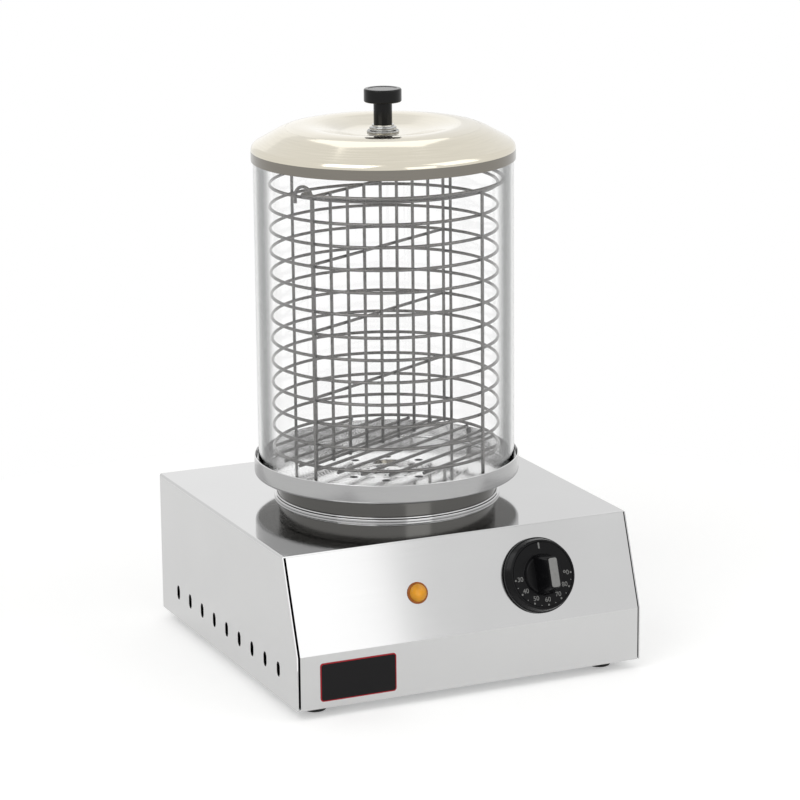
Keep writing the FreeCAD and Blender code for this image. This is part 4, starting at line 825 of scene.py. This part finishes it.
class STEAMER_OT_lid(bpy.types.Operator):
    """Domed lid with its knob and knurled collar"""

    bl_idname = "steamer.lid"
    bl_label = "Lid"

    def execute(self, context):
        low, crest, hollow = LID_LOW.z, LID_HIGH.z, COLLAR_LOW.z
        skirt, sheet = LID_SKIRT_RADIUS, LID_SHEET
        upper = profile([(0, 0, 0.35), (0, 11.5, 6.0)], low, skirt)
        upper += profile([(-22, -3.4, 40)], crest, skirt) + profile([(64, 0.9, 50)], crest)
        upper += profile([(26, 0.1, 80), (0, 0)], hollow)
        lower = profile([(0, 0), (26, 0.1, 80.8)], hollow - sheet) + profile([(64, 0.9, 49.2)], crest - sheet)
        lower += profile([(-22.2, -3.4, 39.2)], crest - sheet, skirt)
        lower += profile([(0, 11.3, 5.2), (0, 0, 0.35)], low, skirt - sheet)
        dome = turned("lid_dome", upper + lower, 160, "lid", "lid", "lid")
        # The rim band gets the darker steel: a painted dark reflection.
        refinish(dome, "rolled", lambda face: face.center.z < low + LID_REFLECTION_BAND_HEIGHT)

        top = KNOB_HIGH.z
        stem = profile([(0, 0), (7.15, 0, 0.4)], KNOB_LOW.z)
        head = profile([(7.15, 0, 0.8), (14.5, 0, 1.2)], top - KNOB_HEAD_HEIGHT)
        head += profile([(14.5, 0, 1.3), (11.5, 0, 0.5), (10.5, -0.4, 0.5), (0, -0.4)], top)
        turned("lid_knob_moulded", stem + head, 96, "knob", "lid", "lid_knob", 30.0)

        bm = bmesh.new()
        lathe(bm, profile([
            (2.6, 0), (12.5, 0, 0.5), (12.2, 1.4, 0.6), (10.2, 2.2, 0.5), (10.4, 4.2, 0.8), (8.5, 4.8, 0.4)],
            hollow) + profile([(8.5, 0), (2.6, 0)], COLLAR_HIGH.z), 120)
        ridge = [edge for edge in along(bm.edges, 2, 0.3 * MM)
                 if min(vert.co.xy.length for vert in edge.verts) > 9.8 * MM]
        knurl_share = 0.94
        for vert in {vert for edge in ridge[::2] for vert in edge.verts}:
            vert.co.xy *= knurl_share
        move(bm, Matrix.Translation(BOILER))
        settle("lid_knob_collar_knurled", bm, "collar", "lid", ["lid_knob_collar"], 20.0)
        return {"FINISHED"}


class STEAMER_OT_basket(bpy.types.Operator):
    """Round wires of the basket: rings, hooked posts, floor, divider and bail"""

    bl_idname = "steamer.basket"
    bl_label = "Wire basket"

    def execute(self, context):
        basket = context.scene.steamer_basket
        wire = basket.wire
        half = wire / 2
        post_radius = RING_RADIUS + half / HEX_SHARE + half
        low = RINGS_LOW.z + half
        high = RINGS_HIGH.z - half
        heights = [low + (high - low) * index / (basket.rings - 1) for index in range(basket.rings)]
        stand = Matrix.Translation(BOILER) @ Matrix.Rotation(basket.turn, 4, "Z")

        def place(name, bm, node, body="basket"):
            move(bm, stand)
            settle(name, bm, "wire", body, [node], 60.0)

        rings = bmesh.new()
        for height in heights:
            made = bmesh.ops.create_circle(
                rings, cap_ends=False, radius=half, segments=10,
                matrix=Matrix.Translation((RING_RADIUS, 0, height)) @ Matrix.Rotation(math.pi / 2, 4, "X"))
            section = made["verts"]
            edges = list({edge for vert in section for edge in vert.link_edges})
            bmesh.ops.spin(rings, geom=section + edges, cent=(0, 0, 0), axis=(0, 0, 1), angle=math.tau,
                           steps=112, use_merge=True)
        place("ring_wires", rings, "basket_rings")

        posts = bmesh.new()
        foot = GLASS_LOW.z + 0.02 * MM
        top = high + half
        span = basket.hook_span / 2
        for sign in (-1, 1):
            x = sign * post_radius
            line = straight((x, 0, foot))
            line += bow((x, span, top), (0, 1, 0), (0, 0, 1), span, 180, 0, 4)
            line += straight((x, 2 * span, top - basket.hook_drop))
            bent_wire(posts, line, wire)
            rod(posts, (0, x, foot), (0, x, top), wire)
        place("hooked_posts", posts, "basket_posts")

        floor = bmesh.new()
        height = FLOOR_LOW.z + half
        reach = RING_RADIUS + half
        for index in range(basket.floor_wires):
            side = (index - (basket.floor_wires - 1) / 2) * FLOOR_PITCH
            length = math.sqrt(reach * reach - side * side)
            rod(floor, (-length, side, height), (length, side, height), wire)
        place("floor_wires", floor, "basket_floor")

        divider = bmesh.new()
        inner = RING_RADIUS - half / HEX_SHARE
        end = inner - half / HEX_SHARE
        upright_y = DIVIDER_OFFSET - half
        level_y = DIVIDER_OFFSET + half
        for index in range(basket.uprights):
            across = (2 * index / (basket.uprights - 1) - 1) * end
            rod(divider, (across, upright_y, low - half), (across, upright_y, high + half), wire)
        for height in heights[::3]:
            rod(divider, (-inner, level_y, height), (inner, level_y, height), wire)
        place("divider_wires", divider, "divider_grid")

        bail = bmesh.new()
        thick = basket.bail_wire
        overhang, gap, step_length, pin_reach, bend = 1.5 * MM, 0.5 * MM, 24 * MM, 10 * MM, 4 * MM
        near = post_radius + overhang
        far = post_radius + half + gap + thick / 2 / HEX_SHARE
        height = JOINTS["bail_swing"]["pos_m"][2]
        step = math.degrees(math.asin(step_length / near))
        line = straight((-(far - pin_reach), span, height))
        line += bow((-(far - bend), span - bend, height), (-1, 0, 0), (0, 1, 0), bend, 90, 0, 2)
        line += straight((-far, -span, height))
        line += bow((0, 0, height), (-1, 0, 0), (0, -1, 0), near, step, 180 - step, 10)
        line += straight((far, -span, height))
        line += bow((far - bend, span - bend, height), (1, 0, 0), (0, 1, 0), bend, 0, 90, 2)
        line += straight((far - pin_reach, span, height))
        bent_wire(bail, line, thick, 6)
        place("bail_wire", bail, "basket_bail", "bail")
        return {"FINISHED"}


class STEAMER_OT_dial(bpy.types.Operator):
    """Thermostat dial with its skirt, grip, numbers and marks"""

    bl_idname = "steamer.dial"
    bl_label = "Dial"

    def execute(self, context):
        stand = dial_frame()
        face = DIAL_LIFT + DIAL_HEIGHT
        top = face + GRIP_HEIGHT
        grip_top = top - 0.4 * MM
        bm = bmesh.new()
        skirt = profile([(0, 0), (28.8, 0, 0.5), (28.8, 2.2, 0.5), (28.0, 2.8, 0.3)], DIAL_LIFT)
        lathe(bm, skirt + profile([
            (26.4, 0, 1.2), (24.9, 0, 0.4), (24.4, -0.5, 0.3), (15.9, -0.5, 0.5), (14.4, 2.3, 1.0), (0, 2.6)],
            face), 128)
        # Width, length and height of the grip at its foot and at its top.
        foot_size = (15 * MM, 30.5 * MM, face + 1.0 * MM)
        top_size = (15 * MM * 0.53, 23.1 * MM, grip_top)
        corners = bmesh.ops.create_cube(bm, size=1.0)["verts"]
        for vert in corners:
            width, length, height = top_size if vert.co.z > 0 else foot_size
            vert.co = Vector((vert.co.x * width, vert.co.y * length, height))
        soften(bm, along({edge for vert in corners for edge in vert.link_edges}, 2, 5 * MM), 2.4 * MM, 6)
        soften(bm, above(bm, grip_top - 0.01 * MM), 0.8 * MM, 4)
        move(bm, stand)
        settle("dial_moulded", bm, "dial", "dial", ["thermostat_knob"], 30.0)

        inlay = bmesh.new()
        bmesh.ops.create_cube(inlay, size=1.0, matrix=Matrix.Translation((0, 0, grip_top)) @ Matrix.Diagonal(
            (6.8 * MM, 22.0 * MM, 0.8 * MM, 1)))
        soften(inlay, along(inlay.edges, 2, 0.1 * MM), 1.6 * MM, 5)
        soften(inlay, above(inlay, top - 0.01 * MM), 0.25 * MM, 2)
        move(inlay, stand)
        settle("grip_inlay", inlay, "inlay", "dial")

        marks = bmesh.new()
        middle = face - 0.5 * MM + MARK_THICKNESS / 2

        def spot(radius, degrees):
            """Matrix of a place on the dial's face."""
            return Matrix.Rotation(math.radians(degrees), 4, "Z") @ Matrix.Translation((radius, 0, middle))

        def bar(radius, degrees, length, width):
            size = Matrix.Diagonal((length, width, MARK_THICKNESS, 1))
            bmesh.ops.create_cube(marks, size=1.0, matrix=spot(radius, degrees) @ size)

        bar(22.0 * MM, 90, 4.6 * MM, 1.3 * MM)
        angles = list(DIAL_SCALE)
        for angle in angles:
            bar(23.2 * MM, angle, 1.3 * MM, 1.3 * MM)
        for first, second in zip(angles, angles[1:]):
            bar(23.4 * MM, (first + second) / 2, 0.7 * MM, 0.7 * MM)
        for angle, figure in DIAL_SCALE.items():
            words = bpy.data.curves.new("figure", "FONT")
            words.body = str(figure)
            words.size = context.scene.steamer_controls.number_height * FONT_SHARE
            words.align_x = words.align_y = "CENTER"
            words.extrude = MARK_THICKNESS / 2
            words.offset = 0.05 * MM
            pour(marks, words, spot(19.3 * MM, angle) @ Matrix.Rotation(math.radians(-angle), 4, "Z"))
        move(marks, stand)
        settle("dial_marks", marks, "print", "dial")
        return {"FINISHED"}


class STEAMER_OT_lamp(bpy.types.Operator):
    """Amber pilot lamp"""

    bl_idname = "steamer.lamp"
    bl_label = "Pilot lamp"

    def execute(self, context):
        # The lamp stands on the slope beside the dial, a little lower.
        stand = dial_frame()
        up_slope = stand.to_3x3().col[1]
        stand.translation = Vector((LAMP_X, *stand.translation.yz)) - up_slope * LAMP_DROP
        turned("lamp_ring", profile([
            (6.85, 0), (8.3, 0, 0.2), (8.2, 0.9, 0.5), (7.4, 1.75, 0.5), (6.85, 1.75, 0.2)]),
            64, "bezel", "base", "lamp_bezel", stand=stand)
        turned("lamp_dome", profile([
            (0, 0.05), (6.8, 0.05), (6.8, 1.9, 0.5), (6.0, 3.4, 2.0), (3.4, 4.6, 2.5), (0, 5.0)]),
            64, "lamp", "base", "lamp_lens", stand=stand)
        return {"FINISHED"}


class STEAMER_OT_plate(bpy.types.Operator):
    """Bare black plate with a red border, where a nameplate would be"""

    bl_idname = "steamer.plate"
    bl_label = "Bare plate"

    def execute(self, context):
        for name, inset, proud, corner, finish in (
                ("plate_border", 0.0, 0.5 * MM, 2.4 * MM, "border"),
                ("plate_face", 0.8 * MM, 0.56 * MM, 1.8 * MM, "plate")):
            centre = PLATE_CENTRE + Vector((0, PANEL_LOW.y - proud + PLATE_DEPTH / 2, 0))
            size = Matrix.Diagonal((PLATE_WIDTH - 2 * inset, PLATE_DEPTH, PLATE_HEIGHT - 2 * inset, 1))
            bm = bmesh.new()
            bmesh.ops.create_cube(bm, size=1.0, matrix=Matrix.Translation(centre) @ size)
            soften(bm, along(bm.edges, 1, PLATE_DEPTH / 2), corner, 6)
            settle(name, bm, finish, "base")
        return {"FINISHED"}


class STEAMER_OT_gland(bpy.types.Operator):
    """Cable gland at the back with its dome nut"""

    bl_idname = "steamer.gland"
    bl_label = "Cable gland"

    def execute(self, context):
        centre = (GLAND_LOW + GLAND_HIGH) / 2
        centre.y = COVER_HIGH.y
        turned("cable_gland_moulded", profile([
            (4.2, -5.3), (7.7, -5.3), (7.7, 0), (11.8, 0, 0.3), (11.8, 5.0, 0.8), (6.1, 5.0, 0.5),
            (6.1, 17.0, 1.0), (5.0, 20.0, 0.5), (4.2, 20.0)]),
            12, "nylon", "base", "cable_gland", 20.0,
            Matrix.Translation(centre) @ Matrix.Rotation(-math.pi / 2, 4, "X"))
        return {"FINISHED"}


class STEAMER_OT_stage(bpy.types.Operator):
    """Floor, lights and camera"""

    bl_idname = "steamer.stage"
    bl_label = "Stage"

    def execute(self, context):
        scene = context.scene
        studio = scene.steamer_studio
        scene.view_settings.view_transform = "Standard"

        bm = bmesh.new()
        bmesh.ops.create_circle(bm, cap_ends=True, segments=96, radius=studio.floor_radius)
        mesh = mesh_of("studio_floor", bm)
        floor = bpy.data.objects.new("studio_floor", mesh)
        scene.collection.objects.link(floor)
        material, tree, shader, _ = new_material("painted_floor", {
            "Base Color": linear(studio.floor_colour), "Roughness": 0.9, "Specular IOR Level": 0.1,
            "Emission Color": (1, 1, 1, 1)})
        glow = joined(tree, "MULTIPLY", seen(tree), studio.floor_glow)
        tree.links.new(glow, shader.inputs["Emission Strength"])
        mesh.materials.append(material)

        world = bpy.data.worlds.new("studio_world")
        scene.world = world
        world.use_nodes = True
        tree = world.node_tree
        tree.nodes.clear()
        # Camera, metal and glass see one white background. Everything else gets the plain level.
        bright = joined(tree, "MAXIMUM", seen(tree), studio.world_level)
        dome = add(tree, "ShaderNodeBackground", {"Color": (1, 1, 1, 1), "Strength": bright})
        add(tree, "ShaderNodeOutputWorld", {"Surface": dome.outputs["Background"]})

        for name, spot, size, setting, share in SOFTBOXES:
            light = bpy.data.lights.new(name, "AREA")
            light.shape = "SQUARE"
            light.size = size
            light.energy = getattr(studio, setting) * share
            lamp = bpy.data.objects.new(name, light)
            lamp.location = spot
            lamp.rotation_euler = (SOFTBOX_AIM - Vector(spot)).to_track_quat("-Z", "Y").to_euler()
            scene.collection.objects.link(lamp)

        camera = bpy.data.cameras.new("photo_camera")
        camera.lens = studio.lens
        camera.sensor_width = 36.0
        camera.clip_end = 60.0
        forward = Vector((
            math.sin(studio.yaw) * math.cos(studio.pitch), math.cos(studio.yaw) * math.cos(studio.pitch),
            -math.sin(studio.pitch)))
        level_right = Vector((math.cos(studio.yaw), -math.sin(studio.yaw), 0))
        level_up = level_right.cross(forward)
        right = math.cos(studio.roll) * level_right + math.sin(studio.roll) * level_up
        up = math.cos(studio.roll) * level_up - math.sin(studio.roll) * level_right
        view = Matrix((right, up, -forward)).transposed().to_4x4()
        view.translation = CAMERA_PLACE
        holder = bpy.data.objects.new("photo_camera", camera)
        holder.matrix_world = view
        scene.collection.objects.link(holder)
        scene.camera = holder
        return {"FINISHED"}


class STEAMER_PT_panel(bpy.types.Panel):
    """The steamer's pieces in the sidebar"""

    bl_idname = "STEAMER_PT_panel"
    bl_label = "Hot Dog Steamer"
    bl_space_type = "VIEW_3D"
    bl_region_type = "UI"
    bl_category = "Steamer"

    def draw(self, context):
        for operator in OPERATORS:
            self.layout.operator(operator.bl_idname)
        for name, group in SETTINGS.items():
            for setting in group.__annotations__:
                self.layout.prop(getattr(context.scene, name), setting)


OPERATORS = (
    STEAMER_OT_finishes, STEAMER_OT_housing, STEAMER_OT_pan, STEAMER_OT_tray, STEAMER_OT_glass,
    STEAMER_OT_lid, STEAMER_OT_basket, STEAMER_OT_dial, STEAMER_OT_lamp, STEAMER_OT_plate,
    STEAMER_OT_gland, STEAMER_OT_stage,
)
SETTINGS = {
    "steamer_steel": SteelSettings,
    "steamer_basket": BasketSettings,
    "steamer_controls": ControlSettings,
    "steamer_studio": StudioSettings,
}


def register():
    for group in SETTINGS.values():
        bpy.utils.register_class(group)
    for name, group in SETTINGS.items():
        setattr(bpy.types.Scene, name, bpy.props.PointerProperty(type=group))
    for operator in OPERATORS:
        bpy.utils.register_class(operator)
    bpy.utils.register_class(STEAMER_PT_panel)


def unregister():
    bpy.utils.unregister_class(STEAMER_PT_panel)
    for operator in reversed(OPERATORS):
        bpy.utils.unregister_class(operator)
    for name in SETTINGS:
        delattr(bpy.types.Scene, name)
    for group in reversed(SETTINGS.values()):
        bpy.utils.unregister_class(group)


def main():
    register()
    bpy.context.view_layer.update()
    for operator in OPERATORS:
        group, name = operator.bl_idname.split(".")
        getattr(getattr(bpy.ops, group), name)()


if __name__ == "__main__":
    main()
